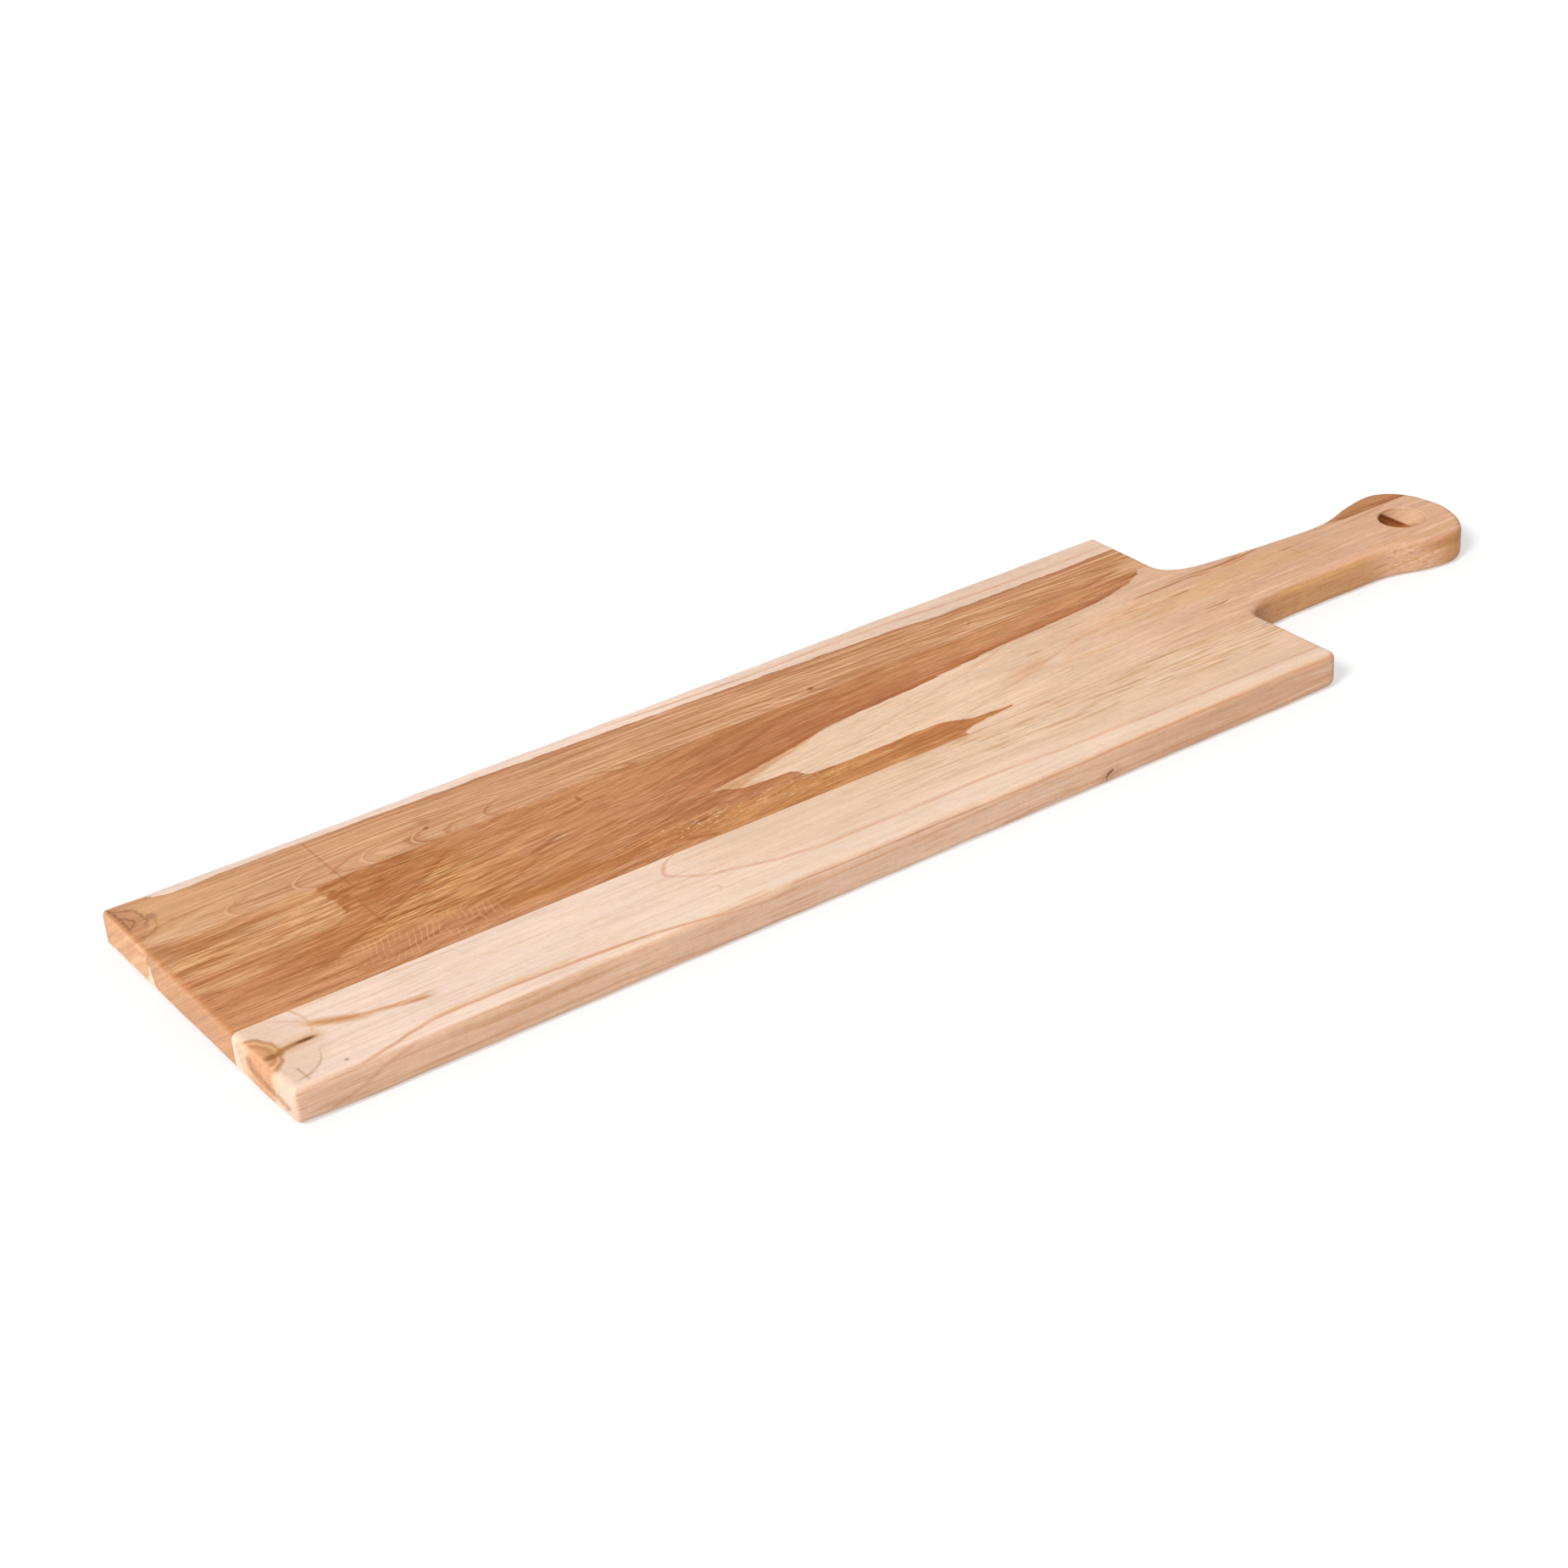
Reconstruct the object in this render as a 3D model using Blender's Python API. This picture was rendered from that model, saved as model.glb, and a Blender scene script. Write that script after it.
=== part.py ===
"""Paddle-shaped wooden serving and cutting board.

Three straight-grained staves are glued edge to edge, and the glued blank is then
cut to one outline, so the handle belongs to the middle stave alone. The outline
and the rounded edges run across all three staves, so the board is modelled as one
blank and sliced along its two glue lines.

Metres, +Z up. The origin is under the middle of the board's bounding box, on the
surface that it lies on. +X points to the handle and +Y to the rear stave.
"""

import math

import bmesh
import bpy

# Driving dimensions
OVERALL_LENGTH = 0.5955
BODY_LENGTH = 0.4635
BODY_WIDTH = 0.150
THICKNESS = 0.015
EDGE_RADIUS = 0.003

# Body corners, eased by hand, so each has its own radius
REAR_LEFT_CORNER = 0.0015
REAR_RIGHT_CORNER = 0.0020
FRONT_RIGHT_CORNER = 0.0045
FRONT_LEFT_CORNER = 0.0025
SMALLEST_CORNER = 0.0008

# Glue lines: the Y of each joint, and the thickness of the cured adhesive in it
REAR_JOINT_Y = 0.0370
FRONT_JOINT_Y = -0.0302
GLUE_THICKNESS = 0.0002

# Handle, measured from the shoulder (along X) and from the centre line (along Y)
REAR_FILLET_START_Y = 0.0365
REAR_FILLET_END = (0.0160, 0.0245)
REAR_FILLET_SLOPE = -0.16
FRONT_FILLET_START = (0.0365, -0.0185)
FRONT_FILLET_END_Y = -0.0295
NECK_FROM_SHOULDER = 0.0765
NECK_HALF_WIDTH = 0.0187
KNOB_FROM_SHOULDER = 0.1130
KNOB_HALF_WIDTH = 0.0266
TIP_Y = 0.0005

# Hanging hole
HOLE_FROM_TIP = 0.0233
HOLE_OFFSET_Y = -0.0010
HOLE_RADIUS = 0.0100
HOLE_LIP = 0.0008

# Smoothness of the round stretches
CORNER_STEPS = 4
CURVE_STEPS = 8
ROUNDING_STEPS = 4
HOLE_SIDES = 48
LIP_STEPS = 2
CUTTER_OVERRUN = 0.002
SHARP_ANGLE = math.radians(40)

# Materials: colour, roughness
HEARTWOOD = ((0.40, 0.20, 0.085, 1.0), 0.55)
MIXED_WOOD = ((0.45, 0.235, 0.11, 1.0), 0.55)
SAPWOOD = ((0.72, 0.48, 0.31, 1.0), 0.55)
GLUE = ((0.42, 0.26, 0.13, 1.0), 0.45)

LEFT_X = -OVERALL_LENGTH / 2
SHOULDER_X = LEFT_X + BODY_LENGTH
TIP_X = LEFT_X + OVERALL_LENGTH


def clear_scene():
    for old in list(bpy.data.objects):
        bpy.data.objects.remove(old, do_unlink=True)


def wood_material(name, look):
    colour, roughness = look
    material = bpy.data.materials.new(name)
    material.use_nodes = True
    shader = material.node_tree.nodes["Principled BSDF"]
    shader.inputs["Base Color"].default_value = colour
    shader.inputs["Roughness"].default_value = roughness
    shader.inputs["Metallic"].default_value = 0.0
    return material


def corner(along_x, along_y, radius, inset):
    """Quarter round of a body corner that is set in from the sides, clockwise from above.

    along_x and along_y are +1 or -1: the sides of the body that meet there.
    """
    radius = max(radius - inset, SMALLEST_CORNER)
    side_x = SHOULDER_X if along_x > 0 else LEFT_X
    centre_x = side_x - along_x * (inset + radius)
    centre_y = along_y * (BODY_WIDTH / 2 - inset - radius)
    first_angle = math.atan2(along_y, along_x) + math.pi / 4
    places = []
    for step in range(CORNER_STEPS + 1):
        angle = first_angle - math.pi / 2 * step / CORNER_STEPS
        places.append((centre_x + radius * math.cos(angle), centre_y + radius * math.sin(angle)))
    return places


def curve(start, start_heading, end, end_heading, reach=(0.4, 0.4)):
    """Cubic curve between two points, without its first point.

    The headings are directions of travel. reach gives how far each control point
    stands from its end, as a share of the distance between the ends.
    """
    span = math.dist(start, end)
    first = scaled(start_heading, reach[0] * span)
    last = scaled(end_heading, reach[1] * span)
    control = (
        start,
        (start[0] + first[0], start[1] + first[1]),
        (end[0] - last[0], end[1] - last[1]),
        end,
    )
    points = []
    for step in range(1, CURVE_STEPS + 1):
        t = step / CURVE_STEPS
        share = ((1 - t) ** 3, 3 * t * (1 - t) ** 2, 3 * t * t * (1 - t), t**3)
        place = tuple(sum(share[i] * control[i][axis] for i in range(4)) for axis in range(2))
        slope = ((1 - t) ** 2, 2 * t * (1 - t), t * t)
        heading = tuple(
            sum(slope[i] * (control[i + 1][axis] - control[i][axis]) for i in range(3))
            for axis in range(2)
        )
        normal = scaled((-heading[1], heading[0]), 1.0)
        points.append((place, normal))
    return points


def scaled(vector, length):
    size = math.hypot(vector[0], vector[1])
    return (vector[0] / size * length, vector[1] / size * length)


def handle_outline():
    """From the rear fillet round the knob to the front fillet, clockwise from above."""
    neck_x = SHOULDER_X + NECK_FROM_SHOULDER
    knob_x = SHOULDER_X + KNOB_FROM_SHOULDER
    right, left, down = (1.0, 0.0), (-1.0, 0.0), (0.0, -1.0)
    rear_start = (SHOULDER_X, REAR_FILLET_START_Y)
    rear_end = (SHOULDER_X + REAR_FILLET_END[0], REAR_FILLET_END[1])
    rear_slope = (1.0, REAR_FILLET_SLOPE)
    rear_neck = (neck_x, NECK_HALF_WIDTH)
    rear_knob = (knob_x, KNOB_HALF_WIDTH)
    tip = (TIP_X, TIP_Y)
    front_knob = (knob_x, -KNOB_HALF_WIDTH)
    front_neck = (neck_x, -NECK_HALF_WIDTH)
    front_start = (SHOULDER_X + FRONT_FILLET_START[0], FRONT_FILLET_START[1])
    front_end = (SHOULDER_X, FRONT_FILLET_END_Y)
    points = [(rear_start, (1.0, 0.0))]
    points += curve(rear_start, down, rear_end, rear_slope, (0.42, 0.45))
    points += curve(rear_end, rear_slope, rear_neck, right, (0.30, 0.24))
    points += curve(rear_neck, right, rear_knob, right, (0.35, 0.40))
    points += curve(rear_knob, right, tip, down, (0.38, 0.39))
    points += curve(tip, down, front_knob, left, (0.33, 0.36))
    points += curve(front_knob, left, front_neck, left, (0.48, 0.42))
    points += curve(front_neck, left, front_start, left)
    points += curve(front_start, left, front_end, down, (0.50, 0.25))
    return points


def board_outline(inset):
    """The outline of the whole board, set in by a distance, clockwise from above."""
    places = corner(-1, 1, REAR_LEFT_CORNER, inset)
    places += corner(1, 1, REAR_RIGHT_CORNER, inset)
    for place, normal in handle_outline():
        places.append((place[0] - inset * normal[0], place[1] - inset * normal[1]))
    places += corner(1, -1, FRONT_RIGHT_CORNER, inset)
    places += corner(-1, -1, FRONT_LEFT_CORNER, inset)
    return places


def blank_mesh():
    """The glued blank, cut to its outline and rounded along every edge."""
    levels = []
    for step in range(ROUNDING_STEPS + 1):
        angle = math.pi / 2 * step / ROUNDING_STEPS
        inset = EDGE_RADIUS * (1 - math.sin(angle))
        drop = EDGE_RADIUS * (1 - math.cos(angle))
        levels.append((inset, drop))
    upper = [(inset, THICKNESS - drop) for inset, drop in levels]
    lower = [(inset, drop) for inset, drop in reversed(levels)]
    mesh = bmesh.new()
    rings = []
    for inset, height in upper + lower:
        rings.append([mesh.verts.new((x, y, height)) for x, y in board_outline(inset)])
    for above, below in zip(rings, rings[1:]):
        for index, vertex in enumerate(above):
            after = (index + 1) % len(above)
            mesh.faces.new((vertex, above[after], below[after], below[index]))
    mesh.faces.new(list(reversed(rings[0])))
    mesh.faces.new(rings[-1])
    bmesh.ops.recalc_face_normals(mesh, faces=mesh.faces)
    return mesh


def cut_away(mesh, plane_y, side):
    """Remove what lies beyond plane_y on the given side, and close the cut flat."""
    parts = mesh.verts[:] + mesh.edges[:] + mesh.faces[:]
    cut = bmesh.ops.bisect_plane(
        mesh, geom=parts, plane_co=(0.0, plane_y, 0.0), plane_no=(0.0, side, 0.0), clear_outer=True
    )
    rim = [item for item in cut["geom_cut"] if isinstance(item, bmesh.types.BMEdge)]
    for item in cut["geom_cut"]:
        if isinstance(item, bmesh.types.BMVert):
            item.co.y = plane_y
    bmesh.ops.edgeloop_fill(mesh, edges=rim)


def slice_of_blank(name, low_y, high_y, material):
    """The part of the blank between two glue planes; None leaves a side as it is."""
    shape = blank_mesh()
    if high_y is not None:
        cut_away(shape, high_y, 1.0)
    if low_y is not None:
        cut_away(shape, low_y, -1.0)
    bmesh.ops.recalc_face_normals(shape, faces=shape.faces)
    data = bpy.data.meshes.new(name)
    shape.to_mesh(data)
    shape.free()
    data.materials.append(material)
    data.shade_smooth()
    data.set_sharp_from_angle(angle=SHARP_ANGLE)
    piece = bpy.data.objects.new(name, data)
    bpy.context.collection.objects.link(piece)
    return piece


def hole_profile():
    """Half section of the hole with its rounded lips, from the bottom end to the top."""
    lip = []
    for step in range(LIP_STEPS + 1):
        angle = math.pi / 2 * step / LIP_STEPS
        radius = HOLE_RADIUS + HOLE_LIP * (1 - math.sin(angle))
        depth = HOLE_LIP * (1 - math.cos(angle))
        lip.append((radius, depth))
    rim = lip[0][0]
    profile = [(rim, -CUTTER_OVERRUN)]
    profile += lip
    profile += [(radius, THICKNESS - depth) for radius, depth in reversed(lip)]
    profile.append((rim, THICKNESS + CUTTER_OVERRUN))
    return profile


def hole_cutter():
    mesh = bmesh.new()
    rings = []
    for radius, height in hole_profile():
        ring = []
        for side in range(HOLE_SIDES):
            angle = 2 * math.pi * side / HOLE_SIDES
            ring.append(mesh.verts.new((radius * math.cos(angle), radius * math.sin(angle), height)))
        rings.append(ring)
    for below, above in zip(rings, rings[1:]):
        for index, vertex in enumerate(below):
            after = (index + 1) % len(below)
            mesh.faces.new((vertex, below[after], above[after], above[index]))
    mesh.faces.new(list(reversed(rings[0])))
    mesh.faces.new(rings[-1])
    bmesh.ops.recalc_face_normals(mesh, faces=mesh.faces)
    data = bpy.data.meshes.new("hole_cutter")
    mesh.to_mesh(data)
    mesh.free()
    cutter = bpy.data.objects.new("hole_cutter", data)
    cutter.location = (TIP_X - HOLE_FROM_TIP, HOLE_OFFSET_Y, 0.0)
    cutter.hide_render = True
    cutter.display_type = "WIRE"
    bpy.context.collection.objects.link(cutter)
    return cutter


def drill(piece, cutter):
    cut = piece.modifiers.new("hanging_hole", "BOOLEAN")
    cut.operation = "DIFFERENCE"
    cut.solver = "EXACT"
    cut.object = cutter


def build_board():
    half_glue = GLUE_THICKNESS / 2
    heart = wood_material("heartwood", HEARTWOOD)
    mixed = wood_material("heart_and_sapwood", MIXED_WOOD)
    sap = wood_material("sapwood", SAPWOOD)
    glue = wood_material("wood_glue", GLUE)
    rear_low, rear_high = REAR_JOINT_Y - half_glue, REAR_JOINT_Y + half_glue
    front_low, front_high = FRONT_JOINT_Y - half_glue, FRONT_JOINT_Y + half_glue
    slice_of_blank("rear_stave", rear_high, None, heart)
    slice_of_blank("rear_glue_line", rear_low, rear_high, glue)
    middle = slice_of_blank("middle_stave", front_high, rear_low, mixed)
    slice_of_blank("front_glue_line", front_low, front_high, glue)
    slice_of_blank("front_stave", None, front_low, sap)
    drill(middle, hole_cutter())


clear_scene()
build_board()
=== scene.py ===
"""Looks of the paddle-shaped cutting board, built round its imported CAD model.

Sizes are in millimetres in "board coordinates": x from the left end towards the
knob, y from the centre line towards the rear edge, z up from the underside. MM
turns them into Blender's metres, and the CAD model says where the left end is.
"""

import math

import bmesh
import bpy
import numpy as np
from mathutils import Matrix, Vector, geometry


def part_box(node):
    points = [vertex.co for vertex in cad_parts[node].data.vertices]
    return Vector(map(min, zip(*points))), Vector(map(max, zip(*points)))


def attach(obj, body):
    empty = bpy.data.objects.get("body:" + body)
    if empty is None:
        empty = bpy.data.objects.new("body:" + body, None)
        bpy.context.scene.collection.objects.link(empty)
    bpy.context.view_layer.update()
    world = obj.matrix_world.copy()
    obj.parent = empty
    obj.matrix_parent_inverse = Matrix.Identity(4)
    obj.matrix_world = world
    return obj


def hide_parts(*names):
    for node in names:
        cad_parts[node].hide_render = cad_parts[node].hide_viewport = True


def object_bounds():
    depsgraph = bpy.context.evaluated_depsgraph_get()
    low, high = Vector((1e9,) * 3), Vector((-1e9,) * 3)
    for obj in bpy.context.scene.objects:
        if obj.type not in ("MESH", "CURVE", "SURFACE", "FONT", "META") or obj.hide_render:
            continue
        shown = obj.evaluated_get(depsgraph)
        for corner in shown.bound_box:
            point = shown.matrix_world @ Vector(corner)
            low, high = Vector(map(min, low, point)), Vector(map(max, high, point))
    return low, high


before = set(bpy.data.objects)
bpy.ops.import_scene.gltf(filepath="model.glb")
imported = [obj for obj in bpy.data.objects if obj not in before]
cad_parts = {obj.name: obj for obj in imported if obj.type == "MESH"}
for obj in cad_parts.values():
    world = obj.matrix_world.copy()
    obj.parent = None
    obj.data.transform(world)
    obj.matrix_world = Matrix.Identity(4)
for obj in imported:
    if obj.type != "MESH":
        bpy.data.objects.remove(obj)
cad_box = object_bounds()

MM = 0.001
BODY = "root"

# Sizes that the CAD model sets
LEFT_END = cad_box[0].x / MM
THICKNESS = cad_box[1].z / MM
LENGTH = cad_box[1].x / MM - LEFT_END
HALF_WIDTH = cad_box[1].y / MM
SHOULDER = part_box("rear_stave")[1].x / MM - LEFT_END
REAR_GLUE = [corner.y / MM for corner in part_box("rear_glue_line")]
FRONT_GLUE = [corner.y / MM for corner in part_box("front_glue_line")]

# Handle outline, the same curves as the CAD model's
NECK = (76.5, 18.7)
KNOB = (113.0, 26.6)
TIP_Y = 0.5
REAR_FILLET_START_Y = 36.5
REAR_FILLET_END = (16.0, 24.5)
REAR_FILLET_SLOPE = -0.16
FRONT_FILLET_START = (36.5, -18.5)
FRONT_FILLET_END_Y = -29.5
HOLE = (LENGTH - 23.3, -1.0)
HOLE_RADIUS = 10.0
HOLE_LIP = 0.8

# Plan radius of each body corner
CORNERS = {(-1, 1): 1.5, (1, 1): 2.0, (1, -1): 4.5, (-1, -1): 2.5}
SMALLEST_CORNER = 0.5

# Mesh fineness
STATION_GAP = 4.0
CAP_GAP = 6.0
CURVE_STEPS = 16
CORNER_STEPS = 6
ROUNDING_STEPS = 8
SIDE_STEPS = 4
HOLE_SIDES = 96
GUARD = 0.4
FAR = 1e6
SAME_POINT = 1e-6
SHARP_ANGLE = math.radians(40)
# Straight edges stop this far from the corners
CLEAR = 6.0

# Mean radii of the eased edges, how much they wander, and how much larger the handle's are
TOP_ROUND = 2.9
BOTTOM_ROUND = 3.0
WANDER = 0.35
HANDLE_EXTRA = 0.3
HANDLE_START = SHOULDER + 5


# ---------------------------------------------------------------- outline

def unit(vector):
    size = math.hypot(*vector)
    return (vector[0] / size, vector[1] / size)


class Station:
    """One point of the outline, which knows where it goes when the outline shrinks."""

    def __init__(self, place, normal, limit=FAR, diagonal=(0, 0)):
        self.place = place
        self.normal = normal
        self.limit = limit
        self.diagonal = diagonal

    def inset(self, distance):
        along = min(distance, self.limit)
        over = max(distance - self.limit, 0.0)
        return tuple(
            self.place[i] - self.normal[i] * along - self.diagonal[i] * over for i in range(2)
        )


def corner(side_x, side_y):
    """A body corner, clockwise seen from above. side_x and side_y are +1 or -1."""
    radius = CORNERS[side_x, side_y]
    edge = SHOULDER if side_x > 0 else 0.0
    centre = (edge - side_x * radius, side_y * (HALF_WIDTH - radius))
    start = math.atan2(side_y, side_x) + math.pi / 4
    stations = []
    for step in range(CORNER_STEPS + 1):
        angle = start - math.pi / 2 * step / CORNER_STEPS
        normal = (math.cos(angle), math.sin(angle))
        place = (centre[0] + radius * normal[0], centre[1] + radius * normal[1])
        stations.append(Station(place, normal, radius - SMALLEST_CORNER, (side_x, side_y)))
    return stations


def straight(start, end, clear_start, clear_end):
    """Stations along a straight edge, kept clear of the corners at its ends."""
    length = math.dist(start, end)
    heading = unit((end[0] - start[0], end[1] - start[1]))
    normal = (-heading[1], heading[0])
    run = length - clear_start - clear_end
    count = max(1, round(run / STATION_GAP))
    stations = []
    for step in range(count + 1):
        along = clear_start + run * step / count
        place = (start[0] + heading[0] * along, start[1] + heading[1] * along)
        stations.append(Station(place, normal))
    return stations


def curve(start, start_heading, end, end_heading, reach):
    """Cubic curve without its first point; reach is each control point's share of the span."""
    span = math.dist(start, end)
    first, last = unit(start_heading), unit(end_heading)
    control = np.array([
        start,
        (start[0] + first[0] * reach[0] * span, start[1] + first[1] * reach[0] * span),
        (end[0] - last[0] * reach[1] * span, end[1] - last[1] * reach[1] * span),
        end,
    ])
    stations = []
    for step in range(1, CURVE_STEPS + 1):
        t = step / CURVE_STEPS
        place = np.array([(1 - t) ** 3, 3 * t * (1 - t) ** 2, 3 * t * t * (1 - t), t**3]) @ control
        heading = np.array([(1 - t) ** 2, 2 * t * (1 - t), t * t]) @ np.diff(control, axis=0)
        stations.append(Station(tuple(place), unit((-heading[1], heading[0]))))
    return stations


def handle():
    """From the rear fillet round the knob to the front fillet, clockwise from above."""
    right, left, down = (1.0, 0.0), (-1.0, 0.0), (0.0, -1.0)
    slope = (1.0, REAR_FILLET_SLOPE)
    start = (SHOULDER, REAR_FILLET_START_Y)
    runs = [
        (REAR_FILLET_END, slope, (0.42, 0.45)),
        (NECK, right, (0.30, 0.24)),
        (KNOB, right, (0.35, 0.40)),
        ((LENGTH - SHOULDER, TIP_Y), down, (0.38, 0.39)),
        ((KNOB[0], -KNOB[1]), left, (0.33, 0.36)),
        ((NECK[0], -NECK[1]), left, (0.48, 0.42)),
        (FRONT_FILLET_START, left, (0.4, 0.4)),
        ((0.0, FRONT_FILLET_END_Y), down, (0.50, 0.25)),
    ]
    stations = [Station(start, right)]
    heading = down
    for (x, y), next_heading, reach in runs:
        end = (SHOULDER + x, y)
        stations += curve(start, heading, end, next_heading, reach)
        start, heading = end, next_heading
    return stations


# ---------------------------------------------------------------- edges eased by hand

def bump_at(distance, reach):
    return math.exp(-((distance / reach) ** 2))


def wander(x, y, seed):
    """A slow irregular value from -1 to 1 along the edges."""
    phase = 0.061 * x + 0.083 * y + 1.7 * seed
    return (math.sin(phase) + math.sin(2.3 * phase + 0.8) + math.sin(4.9 * phase + 2.1)) / 3


def top_radius(x, y):
    """Radius of the upper edge's rounding, which the sanding left uneven."""
    radius = TOP_ROUND + WANDER * wander(x, y, 1)
    if x > HANDLE_START:
        return radius + HANDLE_EXTRA
    rear_left = bump_at(math.hypot(x, y - HALF_WIDTH), 22.0)
    front_left = bump_at(math.hypot(x, y + HALF_WIDTH), 16.0)
    return radius - 0.9 * rear_left + 0.8 * front_left


def bottom_radius(x, y):
    radius = BOTTOM_ROUND + WANDER * wander(x, y, 2)
    if x > HANDLE_START:
        return radius + HANDLE_EXTRA
    front_left = bump_at(math.hypot(x, y + HALF_WIDTH), 18.0)
    front_right = bump_at(math.hypot(x - SHOULDER, y + HALF_WIDTH), 14.0)
    return radius + 1.8 * front_left + 0.6 * front_right


def quarter_round():
    """Shares of a radius, inwards and down, from the flat face round to the side."""
    angles = [math.pi / 2 * step / ROUNDING_STEPS for step in range(ROUNDING_STEPS + 1)]
    return [(1 - math.sin(angle), 1 - math.cos(angle)) for angle in angles]


def edge_profile(station):
    """The points down the edge at one station, from the upper face to the lower."""
    top, bottom = top_radius(*station.place), bottom_radius(*station.place)
    quarter = quarter_round()
    profile = [(*station.inset(top + GUARD), THICKNESS)]
    for inwards, down in quarter:
        profile.append((*station.inset(top * inwards), THICKNESS - top * down))
    for step in range(1, SIDE_STEPS):
        share = step / SIDE_STEPS
        profile.append((*station.inset(0.0), (THICKNESS - top) * (1 - share) + bottom * share))
    for inwards, down in reversed(quarter):
        profile.append((*station.inset(bottom * inwards), bottom * down))
    profile.append((*station.inset(bottom + GUARD), 0.0))
    return profile


# ---------------------------------------------------------------- meshes

class Solid:
    """Collects one stave's faces and makes the object."""

    def __init__(self):
        self.mesh = bmesh.new()

    def point(self, place):
        x, y, z = place
        return self.mesh.verts.new(((x + LEFT_END) * MM, y * MM, z * MM))

    def skirt(self, stations):
        """The eased edge along a run of stations; returns its columns of vertices."""
        columns = [[self.point(place) for place in edge_profile(s)] for s in stations]
        for before, after in zip(columns, columns[1:]):
            for row in range(len(before) - 1):
                self.mesh.faces.new(
                    (before[row], after[row], after[row + 1], before[row + 1])
                )
        return columns

    def glue_face(self, first, last):
        """The flat glued side between two columns, as strips from top to bottom."""
        for row in range(len(first) - 1):
            corners = (first[row], last[row], last[row + 1], first[row + 1])
            self.mesh.faces.new(corners)

    def cap(self, loop, height, hole=()):
        """A flat face filled with well-shaped triangles."""
        border = [(v.co.x / MM - LEFT_END, v.co.y / MM) for v in loop]
        rim = [(v.co.x / MM - LEFT_END, v.co.y / MM) for v in hole]
        places = border + rim + inner_points(border, rim)
        edges = [(i, (i + 1) % len(border)) for i in range(len(border))]
        edges += [(len(border) + i, len(border) + (i + 1) % len(rim)) for i in range(len(rim))]
        filled = geometry.delaunay_2d_cdt([Vector(p) for p in places], edges, [], 1, SAME_POINT)
        made = {}
        for index, origins in enumerate(filled[3]):
            known = [i for i in origins if i < len(border) + len(rim)]
            if known:
                made[index] = (list(loop) + list(hole))[known[0]]
            else:
                x, y = filled[0][index]
                made[index] = self.point((x, y, height))
        for triangle in filled[2]:
            middle = [sum(filled[0][i][axis] for i in triangle) / 3 for axis in range(2)]
            if hole and math.dist(middle, HOLE) < HOLE_RADIUS + HOLE_LIP + GUARD:
                continue
            self.mesh.faces.new([made[i] for i in triangle])

    def bore(self):
        """The hanging hole's wall with its rounded lips; returns its upper and lower rims."""
        profile = [(HOLE_RADIUS + HOLE_LIP + GUARD, THICKNESS)]
        for inwards, down in quarter_round():
            profile.append((HOLE_RADIUS + HOLE_LIP * inwards, THICKNESS - HOLE_LIP * down))
        profile += [(radius, THICKNESS - z) for radius, z in reversed(profile)]
        rings = []
        for radius, z in profile:
            ring = []
            for side in range(HOLE_SIDES):
                angle = 2 * math.pi * side / HOLE_SIDES
                x = HOLE[0] + radius * math.cos(angle)
                y = HOLE[1] + radius * math.sin(angle)
                ring.append(self.point((x, y, z)))
            rings.append(ring)
        for above, below in zip(rings, rings[1:]):
            for index in range(HOLE_SIDES):
                after = (index + 1) % HOLE_SIDES
                self.mesh.faces.new((above[index], below[index], below[after], above[after]))
        return rings[0], rings[-1]

    def finish(self, name, material):
        bmesh.ops.recalc_face_normals(self.mesh, faces=self.mesh.faces)
        data = bpy.data.meshes.new(name)
        self.mesh.to_mesh(data)
        self.mesh.free()
        data.materials.append(material)
        data.shade_smooth()
        data.set_sharp_from_angle(angle=SHARP_ANGLE)
        piece = bpy.data.objects.new(name, data)
        bpy.context.collection.objects.link(piece)
        return piece


def inner_points(border, rim):
    """A staggered grid of points inside a border, clear of it and of the hole."""
    outline = np.array(border)
    low, high = outline.min(axis=0), outline.max(axis=0)
    halfway = (outline + np.roll(outline, -1, axis=0)) / 2
    fence = np.vstack([outline, halfway] + [np.array(rim)] * bool(rim))
    points = []
    rows = int((high[1] - low[1]) / CAP_GAP)
    columns = int((high[0] - low[0]) / CAP_GAP)
    for row in range(1, rows):
        for column in range(1, columns):
            x = low[0] + (column + 0.5 * (row % 2)) * CAP_GAP
            y = low[1] + row * CAP_GAP
            if not inside(x, y, outline):
                continue
            if rim and math.dist((x, y), HOLE) < HOLE_RADIUS + HOLE_LIP:
                continue
            if np.hypot(fence[:, 0] - x, fence[:, 1] - y).min() > CAP_GAP / 2:
                points.append((x, y))
    return points


def inside(x, y, outline):
    """True where a line to the right of the point crosses the outline an odd number of times."""
    following = np.roll(outline, -1, axis=0)
    crosses = (outline[:, 1] > y) != (following[:, 1] > y)
    rise = following[:, 1] - outline[:, 1]
    rise[~crosses] = 1.0
    reach = outline[:, 0] + (y - outline[:, 1]) / rise * (following[:, 0] - outline[:, 0])
    return bool(np.count_nonzero(crosses & (reach > x)) % 2)


def left_end(low_y, high_y):
    return straight((0.0, low_y), (0.0, high_y), 0.0, 0.0)


def shoulder(high_y, low_y):
    return straight((SHOULDER, high_y), (SHOULDER, low_y), 0.0, 0.0)


def stave(name, material, runs, with_hole=False):
    """A stave from its runs of eased edge, in clockwise order with glued sides between."""
    solid = Solid()
    skirts = [solid.skirt(run) for run in runs]
    columns = [column for skirt in skirts for column in skirt]
    for skirt, following in zip(skirts, skirts[1:] + skirts[:1]):
        solid.glue_face(skirt[-1], following[0])
    upper_rim, lower_rim = solid.bore() if with_hole else ((), ())
    solid.cap([column[0] for column in columns], THICKNESS, upper_rim)
    solid.cap([column[-1] for column in columns], 0.0, lower_rim)
    piece = solid.finish(name, material)
    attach(piece, BODY)
    return piece


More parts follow.
